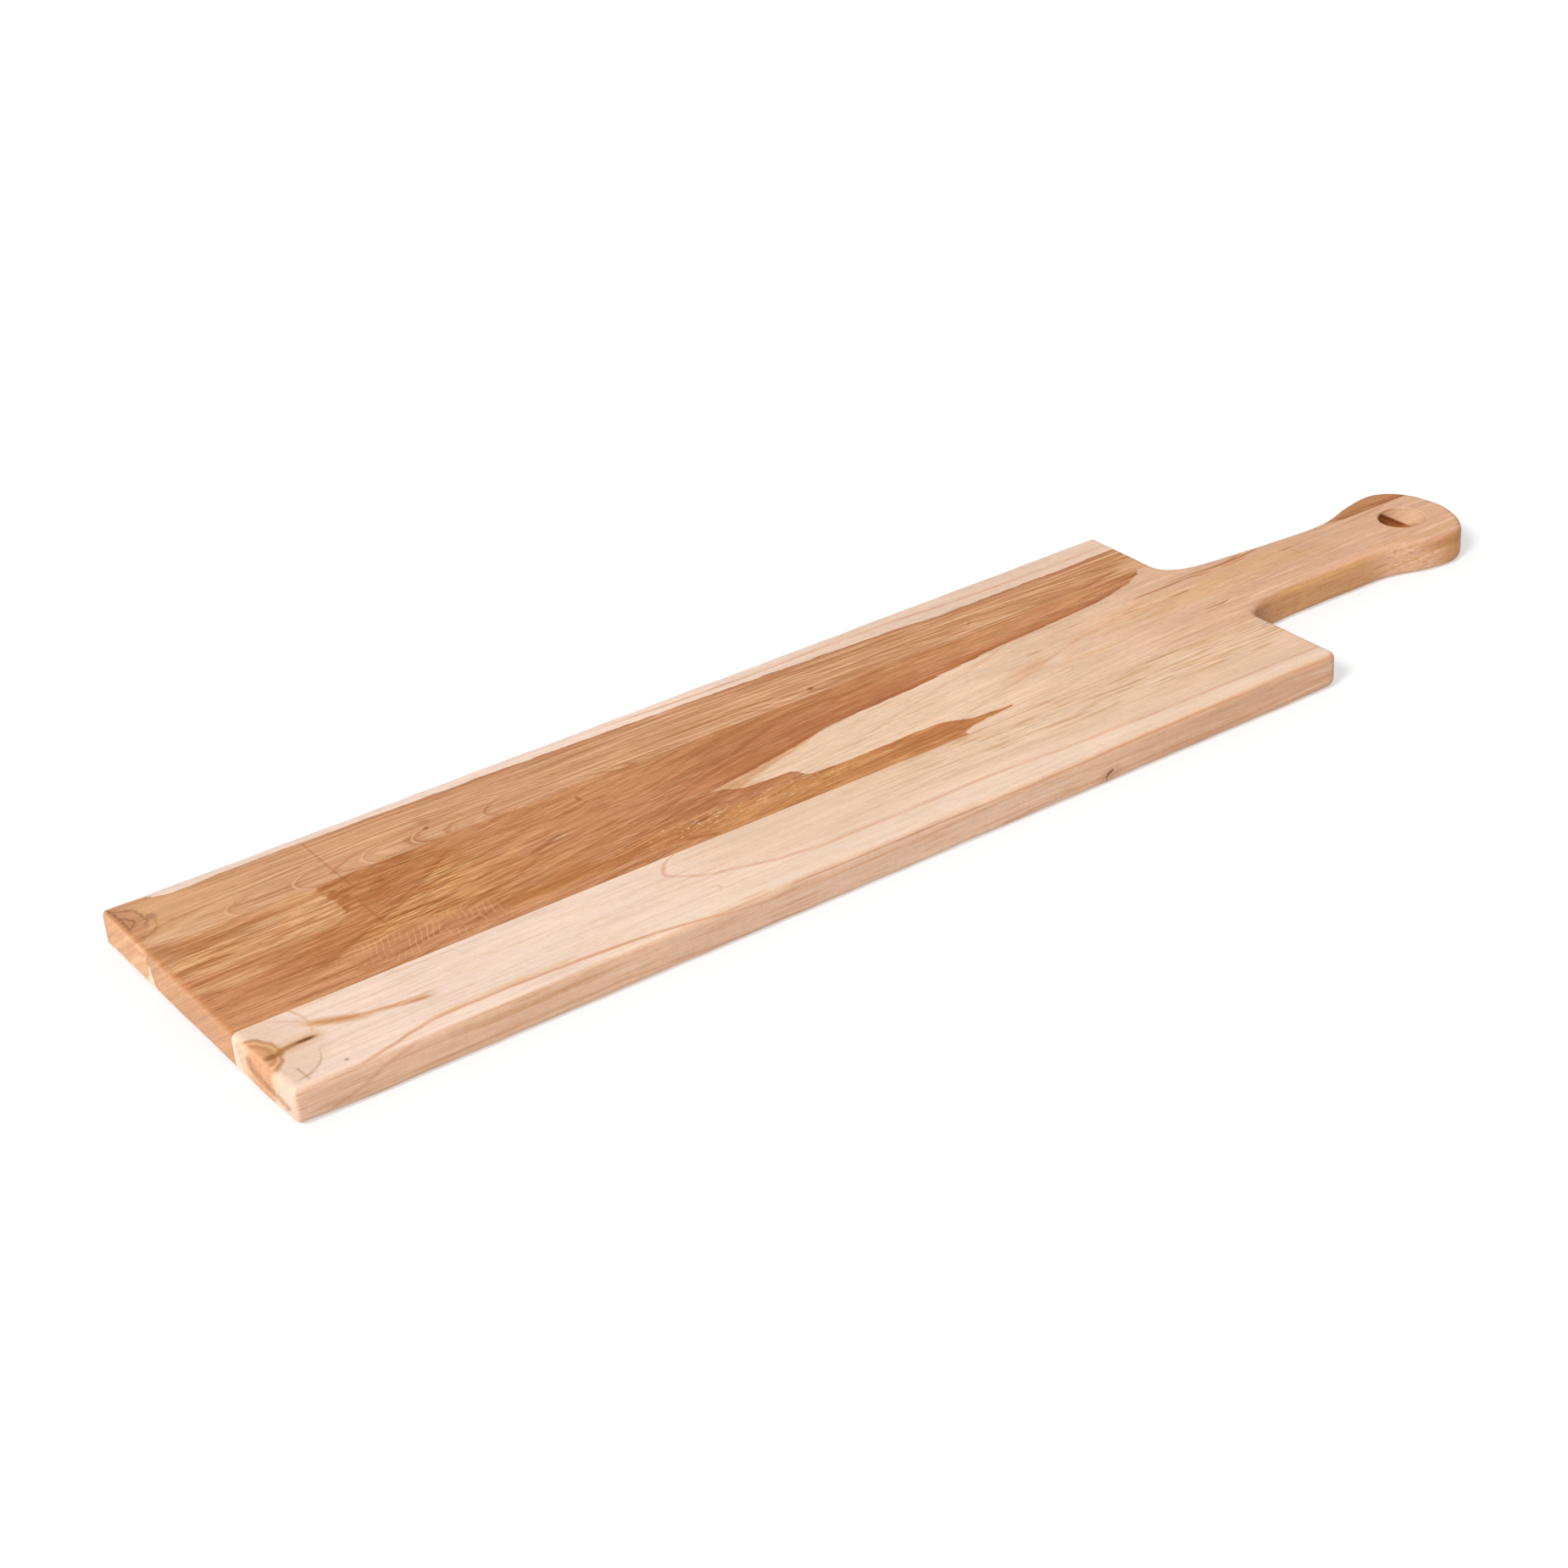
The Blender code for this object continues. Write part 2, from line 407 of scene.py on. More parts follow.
def rear_stave(material):
    run = straight((0.0, REAR_GLUE[1]), (0.0, HALF_WIDTH), 0.0, CLEAR)
    run += corner(-1, 1)
    run += straight((0.0, HALF_WIDTH), (SHOULDER, HALF_WIDTH), CLEAR, CLEAR)
    run += corner(1, 1)
    run += straight((SHOULDER, HALF_WIDTH), (SHOULDER, REAR_GLUE[1]), CLEAR, 0.0)
    return stave("rear_stave_wood", material, [run])


def middle_stave(material):
    left = left_end(FRONT_GLUE[1], REAR_GLUE[0])
    first = Station((SHOULDER, REAR_GLUE[0]), (1.0, 0.0))
    last = Station((SHOULDER, FRONT_GLUE[1]), (1.0, 0.0))
    return stave("middle_stave_wood", material, [left, [first] + handle() + [last]], True)


def front_stave(material):
    run = straight((SHOULDER, FRONT_GLUE[0]), (SHOULDER, -HALF_WIDTH), 0.0, CLEAR)
    run += corner(1, -1)
    run += straight((SHOULDER, -HALF_WIDTH), (0.0, -HALF_WIDTH), CLEAR, CLEAR)
    run += corner(-1, -1)
    run += straight((0.0, -HALF_WIDTH), (0.0, FRONT_GLUE[0]), CLEAR, 0.0)
    return stave("front_stave_wood", material, [run])


def glue_line(name, material, low_y, high_y):
    left = left_end(low_y, high_y)
    right = shoulder(high_y, low_y)
    return stave(name, material, [left, right])


# ---------------------------------------------------------------- wood materials

# How far the figure leans per millimetre of depth, so that it runs on over the edges
LEAN_X = 0.55
LEAN_Y = 1.4
# Light on the upper face: a tone painted there shows as the colour that was asked for
FACE_LIGHT = 1.2
FACE_GLOSS = 0.018
DARKEST = 0.004
# A stroke's edges are soft, so it is drawn this much wider than it looks
LINE_SPREAD = 1.15
# A curve's values span at least this much, and a streak's edge takes this much of the noise
SMALLEST_SPAN = 0.01
STREAK_SOFT = 0.14
# How far each seed shifts a noise pattern
SEED_STEP = (7.3, 3.1, 5.7)
# Satin surface: the roughness falls slightly along pale fibres
ROUGHNESS = 0.64
FIBRE_GLOSS = -0.12
SPECULAR = 0.22
GRAIN_RELIEF = 0.06 * MM
RELIEF_STRENGTH = 0.5
# A straight flow path, for wood whose grain doesn't bend
LEVEL_GRAIN = [(0, 0), (600, 0)]


def tone(red, green, blue):
    """The albedo that shows as this 8-bit colour on the lit upper face."""
    albedo = []
    for level in (red, green, blue):
        share = level / 255
        linear = share / 12.92 if share <= 0.04045 else ((share + 0.055) / 1.055) ** 2.4
        albedo.append(max((linear - FACE_GLOSS) / FACE_LIGHT, DARKEST))
    return (*albedo, 1.0)


class Field:
    """A number that varies over the wood; arithmetic on it adds shader nodes."""

    def __init__(self, graph, socket):
        self.graph = graph
        self.socket = socket

    def __add__(self, other):
        return self.graph.math("ADD", self, other)

    def __sub__(self, other):
        return self.graph.math("SUBTRACT", self, other)

    def __mul__(self, other):
        return self.graph.math("MULTIPLY", self, other)

    def __abs__(self):
        return self.graph.math("ABSOLUTE", self)

    def highest(self, other):
        return self.graph.math("MAXIMUM", self, other)

    def rise(self, low, high):
        """0 at low and 1 at high, with a soft start and end; high may be the smaller."""
        return self.graph.remap(self, low, high, "SMOOTHSTEP")

    def window(self, low, high, soft):
        """1 between low and high, fading to 0 over twice soft at each end."""
        node = self.graph.group("window", {"Value": self, "Low": low, "High": high, "Soft": soft})
        return Field(self.graph, node.outputs[0])


class Graph:
    """Adds nodes to a shader tree."""

    def __init__(self, tree):
        self.tree = tree
        self.nodes = tree.nodes
        self.links = tree.links

    def node(self, kind, inputs, **settings):
        node = self.nodes.new(kind)
        for key, value in settings.items():
            setattr(node, key, value)
        for key, value in inputs.items():
            if isinstance(value, Field):
                value = value.socket
            if isinstance(value, bpy.types.NodeSocket):
                self.links.new(value, node.inputs[key])
            else:
                node.inputs[key].default_value = value
        return node

    def group(self, name, inputs):
        return self.node("ShaderNodeGroup", inputs, node_tree=bpy.data.node_groups[name])

    def math(self, operation, *values):
        node = self.node("ShaderNodeMath", dict(enumerate(values)), operation=operation)
        return Field(self, node.outputs[0])

    def join(self, *values):
        return self.node("ShaderNodeCombineXYZ", dict(enumerate(values))).outputs[0]

    def split(self, vector):
        node = self.node("ShaderNodeSeparateXYZ", {"Vector": vector})
        return [Field(self, output) for output in node.outputs]

    def remap(self, value, low, high, shape="LINEAR"):
        inputs = {"Value": value, "From Min": low, "From Max": high}
        node = self.node("ShaderNodeMapRange", inputs, interpolation_type=shape, clamp=False)
        return Field(self, node.outputs[0])

    def mix(self, under, over, share):
        node = self.node("ShaderNodeMix", {"Factor": share, 6: under, 7: over}, data_type="RGBA")
        return node.outputs[2]


def start_group(name, inputs, result):
    """A node group with these inputs (label: kind); returns its graph, inputs and output node."""
    tree = bpy.data.node_groups.new(name, "ShaderNodeTree")
    for label, kind in inputs.items():
        tree.interface.new_socket(label, in_out="INPUT", socket_type="NodeSocket" + kind)
    tree.interface.new_socket("Result", in_out="OUTPUT", socket_type="NodeSocket" + result)
    graph = Figure(tree)
    entry = graph.nodes.new("NodeGroupInput")
    values = {label: Field(graph, entry.outputs[label]) for label in inputs}
    return graph, values, graph.nodes.new("NodeGroupOutput")


def add_groups():
    """The shared groups: a soft-ended window, a stroke, and the distance from an oval's centre."""
    labels = ["Value", "Low", "High", "Soft"]
    graph, given, out = start_group("window", dict.fromkeys(labels, "Float"), "Float")
    value, low, high, soft = given.values()
    opening = value.rise(low - soft, low + soft)
    closing = value.rise(high + soft, high - soft)
    graph.links.new((opening * closing).socket, out.inputs[0])

    labels = ["Along", "Across", "Path", "Low", "High", "Fade", "Width", "Strength", "Uneven"]
    inputs = dict.fromkeys(labels, "Float") | dict.fromkeys(["Under", "Ink"], "Color")
    graph, given, out = start_group("stroke", inputs, "Color")
    away = abs(given["Across"] - given["Path"])
    stroke = away.rise(given["Width"], 0.0)
    stroke = stroke * given["Along"].window(given["Low"], given["High"], given["Fade"])
    stroke = stroke * given["Strength"] * given["Uneven"]
    colour = graph.mix(given["Under"], given["Ink"], stroke)
    graph.links.new(colour, out.inputs[0])

    labels = ["U", "V", "X", "Y", "Cos", "Sin", "Long", "Wide"]
    graph, given, out = start_group("oval", dict.fromkeys(labels, "Float"), "Float")
    across, up = given["U"] - given["X"], given["V"] - given["Y"]
    first = (across * given["Cos"] + up * given["Sin"]) * given["Long"]
    second = (up * given["Cos"] - across * given["Sin"]) * given["Wide"]
    distance = graph.math("SQRT", first * first + second * second)
    graph.links.new(distance.socket, out.inputs[0])


class Figure(Graph):
    """Draws wood figure in millimetres, as the upper face shows it."""

    def read(self, place, flow, ragged, facing):
        """Takes the vectors apart that every layer works with."""
        self.place, self.flow = place, flow
        self.x, self.y, self.z = self.split(place)
        self.u, self.v, self.w = self.split(flow)
        self.ragged_u, self.ragged_v, self.uneven = self.split(ragged)
        self.facing_x, self.facing_y, _ = self.split(facing)

    def noise(self, length, width, seed, detail=2.0, turn=0.0, flowing=False):
        """Noise in patches of this length along the grain and this width across it."""
        vector = self.flow if flowing else self.place
        shrink = (1 / length, 0.0, 1 / width) if flowing else (1 / length, 1 / width, 1 / width)
        if turn:
            turned = self.node("ShaderNodeMapping", {"Vector": vector, "Rotation": (0, 0, turn)})
            vector = turned.outputs[0]
        shift = [step * seed for step in SEED_STEP]
        inputs = {"Vector": vector, "Location": shift, "Scale": shrink}
        stretched = self.node("ShaderNodeMapping", inputs)
        inputs = {"Vector": stretched.outputs[0], "Scale": 1.0, "Detail": detail, "Roughness": 0.55}
        return Field(self, self.node("ShaderNodeTexNoise", inputs).outputs[0])

    def follow(self, along, points):
        """A smooth curve through points (along, value), level beyond its ends."""
        low, high = points[0][0], points[-1][0]
        values = [value for _, value in points]
        base, span = min(values), max(max(values) - min(values), SMALLEST_SPAN)
        node = self.node("ShaderNodeFloatCurve", {"Value": self.remap(along, low, high)})
        node.mapping.extend = "HORIZONTAL"
        curve_map = node.mapping.curves[0]
        for _ in points[2:]:
            curve_map.points.new(0.5, 0.5)
        for knot, (place, value) in zip(curve_map.points, points):
            knot.location = ((place - low) / (high - low), (value - base) / span)
            knot.handle_type = "AUTO_CLAMPED"
        node.mapping.update()
        return self.math("MULTIPLY_ADD", Field(self, node.outputs[0]), span, base)

    def paint(self, colour, mask):
        self.colour = self.mix(self.colour, tone(*colour), mask)

    def line(self, points, width, colour, strength=1.0, fade=8.0, upright=False):
        """A stroke along points (u, v), or (v, u) where it is upright."""
        along, across = (self.v, self.u) if upright else (self.u, self.v)
        inputs = {
            "Along": along, "Across": across, "Path": self.follow(along, points),
            "Low": points[0][0], "High": points[-1][0], "Fade": fade / 2,
            "Width": width * LINE_SPREAD, "Strength": strength, "Uneven": self.uneven,
            "Under": self.colour, "Ink": tone(*colour),
        }
        self.colour = self.group("stroke", inputs).outputs[0]

    def lines(self, strokes, fade=8.0, upright=False, share=1.0):
        for points, width, colour, strength in strokes:
            self.line(points, width, colour, strength * share, fade, upright)

    def oval(self, centre, size, turn=0.0):
        """The distance from an oval's centre, 1 on its rim; size holds its half axes."""
        lean = math.radians(turn)
        inputs = {
            "U": self.u, "V": self.v, "X": centre[0], "Y": centre[1], "Cos": math.cos(lean),
            "Sin": math.sin(lean), "Long": 1 / size[0], "Wide": 1 / size[1],
        }
        return Field(self, self.group("oval", inputs).outputs[0])

    def blot(self, centre, size, colour, strength=1.0, turn=0.0, soft=0.5):
        """A soft oval patch."""
        self.paint(colour, self.oval(centre, size, turn).rise(1.0 + soft, 1.0 - soft) * strength)

    def above(self, points, soft=0.5):
        """1 above a boundary drawn through points (u, v), 0 below it."""
        return (self.ragged_v - self.follow(self.u, points)).rise(-soft, soft)

    def below(self, points, soft=0.5):
        return (self.ragged_v - self.follow(self.u, points)).rise(soft, -soft)

    def left_face(self):
        """1 on the board's left end and 0 on the faces beside it."""
        return self.facing_x.rise(-0.35, -0.85)

    def end_patch(self):
        """The left end's darker arris, and a pale wedge across the rear glue line."""
        depth = self.z * -1.0 + THICKNESS
        half = (depth - 4.5) * 0.38 - abs(self.y - 36.0)
        at_end = self.x.rise(5, 3)
        self.paint((184, 124, 82), self.facing_x.window(-0.75, -0.15, 0.12) * at_end * 0.5)
        self.paint((248, 214, 182), half.rise(-0.3, 0.4) * self.facing_x.rise(-0.5, -0.9) * at_end)

    def streaks(self, mask, length, width, seed, colour, amount, sparse=0.55, flowing=False):
        pattern = self.noise(length, width, seed, detail=3.0, flowing=flowing)
        self.paint(colour, pattern.rise(sparse, sparse + STREAK_SOFT) * mask * amount)


class Wood(Figure):
    """One stave's material, built up from layers of figure over a base colour."""

    def __init__(self, name, base, flow_path):
        self.material = bpy.data.materials.new(name)
        self.material.use_nodes = True
        super().__init__(self.material.node_tree)
        self.shader = self.nodes["Principled BSDF"]
        spot = self.node("ShaderNodeTexCoord", {})
        inputs = {"Vector": spot.outputs["Object"], "Location": (-LEFT_END, 0, 0)}
        scaled = self.node("ShaderNodeMapping", inputs | {"Scale": (1 / MM,) * 3})
        self.place = scaled.outputs[0]
        x, y, z = self.split(self.place)
        depth = z * -1.0 + THICKNESS
        wobble = self.noise(26.0, 7.0, 1) - 0.5
        fray = self.noise(5.0, 0.8, 5, detail=3.0) - 0.5
        u = x - depth * LEAN_X
        v = y - depth * LEAN_Y + wobble * 1.2 + fray * 0.5
        w = v - self.follow(u, flow_path)
        ragged_u = u + (self.noise(40.0, 1.1, 2, detail=3.0) - 0.5) * 26.0
        ragged_v = v + (self.noise(9.0, 1.5, 3) - 0.5) * 2.2
        uneven = self.noise(18.0, 2.5, 4).rise(0.2, 0.6) * 0.55 + 0.45
        self.flow = self.join(u, v, w)
        self.vectors = {
            "Place": self.place, "Flow": self.flow,
            "Ragged": self.join(ragged_u, ragged_v, uneven), "Facing": spot.outputs["Normal"],
        }
        self.colour = tone(*base)

    def layer(self, draw):
        """Lets draw(figure) paint over the colour, inside a node group of its own."""
        kinds = {"Colour": "Color"} | dict.fromkeys(self.vectors, "Vector")
        figure, given, out = start_group(draw.__name__, kinds, "Color")
        figure.read(*[given[label].socket for label in self.vectors])
        figure.colour = given["Colour"].socket
        draw(figure)
        figure.links.new(figure.colour, out.inputs[0])
        inputs = {"Colour": self.colour} | self.vectors
        self.colour = self.group(draw.__name__, inputs).outputs[0]

    def finish(self, grain, pore, lift=1.0):
        """Adds the fine grain over the figure and connects the shader."""
        fibres = self.noise(7.0, 0.45, 11, detail=4.0, flowing=True)
        bands = self.noise(30.0, 1.3, 16, detail=3.0, flowing=True)
        cloud = self.noise(50.0, 9.0, 12, flowing=True)
        hatch = self.noise(1.0, 9.0, 13, turn=math.radians(-28))
        pores = self.noise(4.0, 0.45, 14, detail=1.0).rise(0.60, 0.70)
        speck = self.noise(1.6, 0.8, 15, detail=2.0)
        level = (fibres - 0.5) * grain + lift
        for pattern, swing in ((bands, grain * 1.5), (cloud, 0.2), (hatch, 0.12), (speck, 0.14)):
            level = level + (pattern - 0.5) * swing
        level = level - pores * pore
        inputs = {0: self.colour, "Scale": level}
        shaded = self.node("ShaderNodeVectorMath", inputs, operation="SCALE")
        inputs = {"Height": fibres - pores, "Distance": GRAIN_RELIEF, "Strength": RELIEF_STRENGTH}
        bump = self.node("ShaderNodeBump", inputs)
        roughness = self.math("MULTIPLY_ADD", fibres, FIBRE_GLOSS, ROUGHNESS)
        self.links.new(shaded.outputs[0], self.shader.inputs["Base Color"])
        self.links.new(bump.outputs[0], self.shader.inputs["Normal"])
        self.links.new(roughness.socket, self.shader.inputs["Roughness"])
        self.shader.inputs["Specular IOR Level"].default_value = SPECULAR
        return self.material


# Growth lines of the front stave: points (u, v), width, colour, strength
FRONT_LINES = [
    ([(169, -44), (178, -50), (190, -54), (210, -59), (230, -61), (290, -61), (340, -63.5),
      (400, -65), (470, -65.7)], 1.5, (215, 163, 133), 0.75),
    ([(25, -75.5), (40, -72), (50, -69), (70, -67), (100, -68), (130, -70), (160, -74.5),
      (180, -79), (210, -81), (240, -81), (280, -79.5), (310, -78), (340, -76.7), (370, -76),
      (470, -75.5)], 1.3, (216, 160, 125), 0.85),
    ([(55, -66.5), (80, -65.5), (112, -66)], 1.6, (228, 184, 134), 0.75),
    ([(24, -42.5), (35, -47.5), (45, -50), (55, -52.5), (64, -54)], 2.0, (198, 134, 82), 0.9),
    ([(42, -49.5), (55, -51), (66, -51.5)], 1.1, (222, 170, 122), 0.8),
    ([(12, -31), (18, -36), (24, -41)], 1.0, (222, 178, 138), 0.7),
    ([(20, -57.5), (35, -56.6), (50, -57)], 0.9, (228, 190, 158), 0.6),
    ([(5, -70), (11, -68.4), (16, -64.5), (19.5, -57)], 1.1, (205, 158, 122), 0.75),
    ([(410, -50), (427, -50.3)], 1.3, (208, 164, 110), 0.7),
    ([(440, -51.2), (450, -51.2)], 1.5, (204, 158, 108), 0.8),
    ([(342, -46), (354, -47.3)], 1.2, (216, 176, 126), 0.6),
    ([(178, -73), (188, -73.4)], 1.0, (226, 184, 150), 0.8),
    ([(124, -51), (135, -50.6)], 0.9, (232, 194, 162), 0.6),
    ([(418, -32.5), (445, -33), (462, -32.5)], 2.4, (214, 174, 136), 0.6),
    ([(430, -45.7), (446, -45.6), (462, -46)], 0.9, (206, 164, 128), 0.6),
]
FRONT_UPRIGHTS = [
    ([(-44, 169), (-40, 167), (-37, 168.5), (-34, 171), (-30, 178)], 1.5, (216, 165, 136), 0.75),
    ([(-47, 22.2), (-42, 23.5), (-38, 23.6), (-34, 22.8), (-29, 21)], 1.2, (214, 172, 126), 0.8),
    ([(-71, 8.3), (-63, 7.8)], 0.8, (196, 146, 108), 0.7),
    ([(-63, 176), (-60.5, 177.5), (-58, 176)], 0.9, (222, 176, 142), 0.8),
]
FRONT_SIDE_LINES = [
    ([(5, -92), (20, -87), (32, -81), (45, -76.5)], 1.6, (206, 156, 122), 0.8),
    ([(196, -76.2), (240, -76.4), (310, -77), (380, -76), (460, -76.2)], 0.9, (186, 130, 86), 0.85),
    ([(60, -81.5), (90, -82), (125, -80.5)], 1.3, (212, 160, 116), 0.6),
    ([(8, -91), (55, -90.5), (95, -89.5), (145, -91.5), (185, -94)], 1.4, (205, 150, 112), 0.7),
    ([(285, -93), (330, -90.5), (400, -90.5), (430, -89), (470, -85)], 1.5, (196, 143, 103), 0.75),
]


def front_ground(wood):
    u, v = wood.u, wood.v
    # Darker towards the right end: partly the wood's own tone, partly painted fall-off of the light
    # from the left end
    wood.paint((240, 210, 186), u.rise(60, 260))
    wood.paint((225, 189, 158), u.rise(270, 440))
    wood.paint((228, 190, 152), v.rise(-48, -31) * u.rise(190, 300) * 0.8)
    wood.paint((239, 211, 188), v.window(-73, -64, 2) * u.rise(60, 200) * 0.7)
    loop = (v - wood.follow(u, FRONT_LINES[0][0])).rise(-1, 7)
    wood.paint((233, 197, 168), loop * u.rise(168, 200) * 0.6)
    right = u.rise(190, 360) * v.rise(-60, -44)
    wood.streaks(right, 22, 1.1, 21, (200, 156, 112), 0.9, sparse=0.48)
    wood.streaks(right, 30, 1.4, 25, (242, 214, 186), 0.6)
    wood.streaks(v.rise(-66, -58), 60, 1.6, 22, (228, 186, 152), 0.5)
    wood.streaks(u.rise(-20, 0), 34, 2.2, 26, (230, 192, 160), 0.4, sparse=0.5)


def front_pith(wood):
    """The pith that runs out of the corner, with the rings round it."""
    ring = wood.oval((0, -49), (8.2, 11)) + (wood.noise(5, 5, 24) - 0.5) * 0.35
    wood.paint((234, 202, 180), wood.oval((5, -48), (18.5, 20)).rise(1.15, 0.95) * 0.6)
    wood.paint((231, 196, 168), ring.rise(2.6, 1.4) * 0.5)
    wood.paint((214, 158, 114), ring.rise(1.08, 0.92))
    wood.paint((176, 116, 68), abs(ring - 1.0).rise(0.17, 0.0) * 0.55)
    wood.paint((190, 130, 84), abs(ring - 0.66).rise(0.14, 0.0) * 0.6)
    wood.paint((236, 196, 156), abs(ring - 0.84).rise(0.1, 0.0) * 0.5)
    wood.line([(5, -50.2), (14, -50), (24, -49.2)], 4.6, (208, 160, 92), 0.6)
    wood.line([(7, -51), (14, -50), (21.5, -49.6)], 2.2, (164, 106, 58), 0.9, fade=4)
    wood.blot((4.5, -52), (3.2, 1.5), (150, 92, 52), 0.75)
    wood.blot((17.5, -50), (3.4, 0.9), (112, 66, 36), 0.85)
    wood.blot((23, -69.7), (0.8, 0.6), (186, 136, 100), 0.9)
    wood.blot((31, -45.8), (11, 2.6), (216, 162, 112), 0.75, turn=-27)
    wood.lines(FRONT_UPRIGHTS, fade=2.0, upright=True)


def front_growth_lines(wood):
    wood.lines(FRONT_LINES)


def front_faces(wood):
    """The near side and the left end, which cut the rings more squarely; the near side is also
    darker with painted shade.
    """
    x, y = wood.x, wood.y
    near_side = wood.facing_y.rise(-0.35, -0.85)
    # The near side darker than the upper face: partly its own figure, partly painted shade
    wood.paint((227, 181, 148), near_side * 0.85)
    wood.paint((231, 192, 166), near_side * x.window(150, 330, 60) * 0.7)
    # Darker towards the right end: partly the wood's own tone, partly painted fall-off of the light
    # from the left end
    wood.paint((214, 169, 138), near_side * x.rise(330, 400) * 0.85)
    wood.streaks(near_side, 30, 0.9, 23, (200, 148, 110), 0.6, sparse=0.52)
    wood.streaks(near_side, 36, 1.1, 27, (240, 206, 180), 0.5)
    wood.paint((206, 156, 116), wood.oval((85, -81), (30, 1.6)).rise(1.4, 0.6) * 0.5)
    wood.lines(FRONT_SIDE_LINES + FRONT_LINES[1:2], share=0.8)
    crack = [(336.2, -93), (337.2, -91), (339.2, -89.5), (341.5, -88.6)]
    wood.blot((338.5, -90.5), (7, 3), (188, 138, 100), 0.45, turn=25)
    wood.line(crack, 1.1, (70, 50, 46), 1.0, fade=1.0)
    end = wood.left_face()
    wood.paint((246, 206, 174), end * 0.85)
    wood.paint((216, 154, 104), end * y.window(-60, -42, 2.0) * 0.7)
    wood.streaks(end, 8, 1.6, 28, (190, 132, 88), 0.4, sparse=0.5)
    wood.paint((240, 210, 188), end * (y - wood.z * 0.35).rise(-38.0, -36.2))
    wood.paint((238, 204, 182), end * y.rise(-63, -66) * 0.8)
    dark_ring = [(-84, -5), (-72, -4.5), (-58, -4), (-46, -2)]
    wood.line(dark_ring, 1.3, (150, 100, 70), 0.6, fade=3, upright=True)


def front_wood():
    """Pale sapwood with a pith streak at the left end and a few reddish growth lines."""
    wood = Wood("front_sapwood", (243, 215, 196), LEVEL_GRAIN)
    for draw in (front_ground, front_pith, front_growth_lines, front_faces):
        wood.layer(draw)
    return wood.finish(grain=0.18, pore=0.07)


# The lower edge of the rear stave's sapwood
REAR_SAP_EDGE = [
    (0, 74), (15, 72.5), (20, 70), (28, 68.5), (50, 69.5), (150, 68), (200, 66.5), (250, 65),
    (300, 63), (350, 61), (375, 59), (400, 59), (470, 59.4),
]
PALE = (236, 194, 156)
REAR_SAP_LINES = [
    ([(215, 70.2), (280, 67.9), (340, 67.6), (375, 65.8), (400, 64.7), (470, 64.3)], 1.1,
     (212, 162, 134), 0.8),
]
REAR_LINES = [
    ([(60, 65.2), (120, 64.8), (180, 63.8), (260, 60.5), (340, 56), (400, 54.5), (470, 52.5)], 0.9,
     (176, 114, 72), 0.6),
    ([(30, 66.5), (80, 67.5), (150, 65.8), (230, 62.5)], 0.8, (178, 118, 78), 0.5),
    ([(330, 48.5), (380, 47.5), (430, 46), (470, 45)], 1.0, (170, 106, 64), 0.55),
    ([(395, 58), (420, 57.8), (455, 57)], 1.1, (168, 100, 62), 0.55),
    ([(0, 47), (6, 46.8), (10, 49)], 0.9, (168, 110, 66), 0.7),
    ([(12, 55), (20, 51), (32, 52)], 0.9, (182, 122, 76), 0.55),
    ([(24, 46), (36, 45.5), (46, 48)], 0.8, (178, 118, 76), 0.6),
    ([(426, 38), (440, 40.5), (449, 42.2)], 1.3, (158, 92, 52), 0.7),
]


def rear_rings(wood):
    """Arched growth rings, as a flat cut shows them, closing in loops by the glue line."""
    u, v = wood.u, wood.v
    # Darker towards the right end: partly the wood's own tone, partly painted fall-off of the light
    # from the left end
    wood.paint((209, 156, 116), u.rise(120, 240))
    wood.paint((199, 145, 104), u.rise(230, 380))
    centre = wood.follow(u, [(112, 42.5), (185, 30)])
    rise = abs(v - centre) * 0.1
    left = (u * -1.0 + 165) * (1 / 28)
    right = (u - 165) * (1 / 5.5)
    spread = rise * rise * (rise * 1.3 + 0.5)
    arch = wood.math("SQRT", spread + left.highest(right)) + (wood.noise(50, 9, 31) - 0.5) * 0.3
    inputs = {"W": arch, "Scale": 5.5, "Detail": 3.0, "Roughness": 0.6}
    rings = wood.node("ShaderNodeTexNoise", inputs, noise_dimensions="1D")
    ring = Field(wood, rings.outputs[0])
    wood.paint((176, 113, 70), ring.rise(0.51, 0.68) * 0.7)
    wood.paint((230, 184, 144), ring.rise(0.47, 0.32) * 0.65)
    wood.paint((193, 134, 88), v.rise(48, 38) * u.rise(270, 380) * 0.7)
    everywhere = u.rise(-20, 20)
    wood.streaks(everywhere, 60, 0.9, 32, (178, 117, 74), 0.6, sparse=0.52)
    wood.streaks(everywhere, 34, 1.4, 35, (186, 128, 88), 0.5, sparse=0.5)
    wood.streaks(everywhere, 40, 0.8, 33, (229, 182, 142), 0.5)
    right = u.rise(140, 190)
    wood.streaks(right, 46, 1.1, 37, (174, 114, 72), 0.6, sparse=0.5)
    wood.streaks(right, 60, 1.6, 38, (236, 190, 150), 0.6, sparse=0.5)
    wood.paint((222, 172, 124), wood.oval((22, 56), (26, 14)).rise(1.3, 0.6) * 0.5)


def rear_loops(wood):
    """Where the rings close by the glue line they stand out as thin pale loops."""
    for apex, colour in ((34, PALE), (61, PALE), (89, PALE), (110, PALE), (141, (158, 96, 58))):
        shape = [(36.5, 5), (39.5, 1), (42.5, 0), (45.5, 2), (50, 12)]
        shape = [(v, apex + back) for v, back in shape]
        shadow = [(v, u + 1.4) for v, u in shape]
        wood.line(shadow, 1.2, (184, 124, 84), 0.4, fade=4, upright=True)
        wood.line(shape, 0.8, colour, 0.6, fade=4, upright=True)


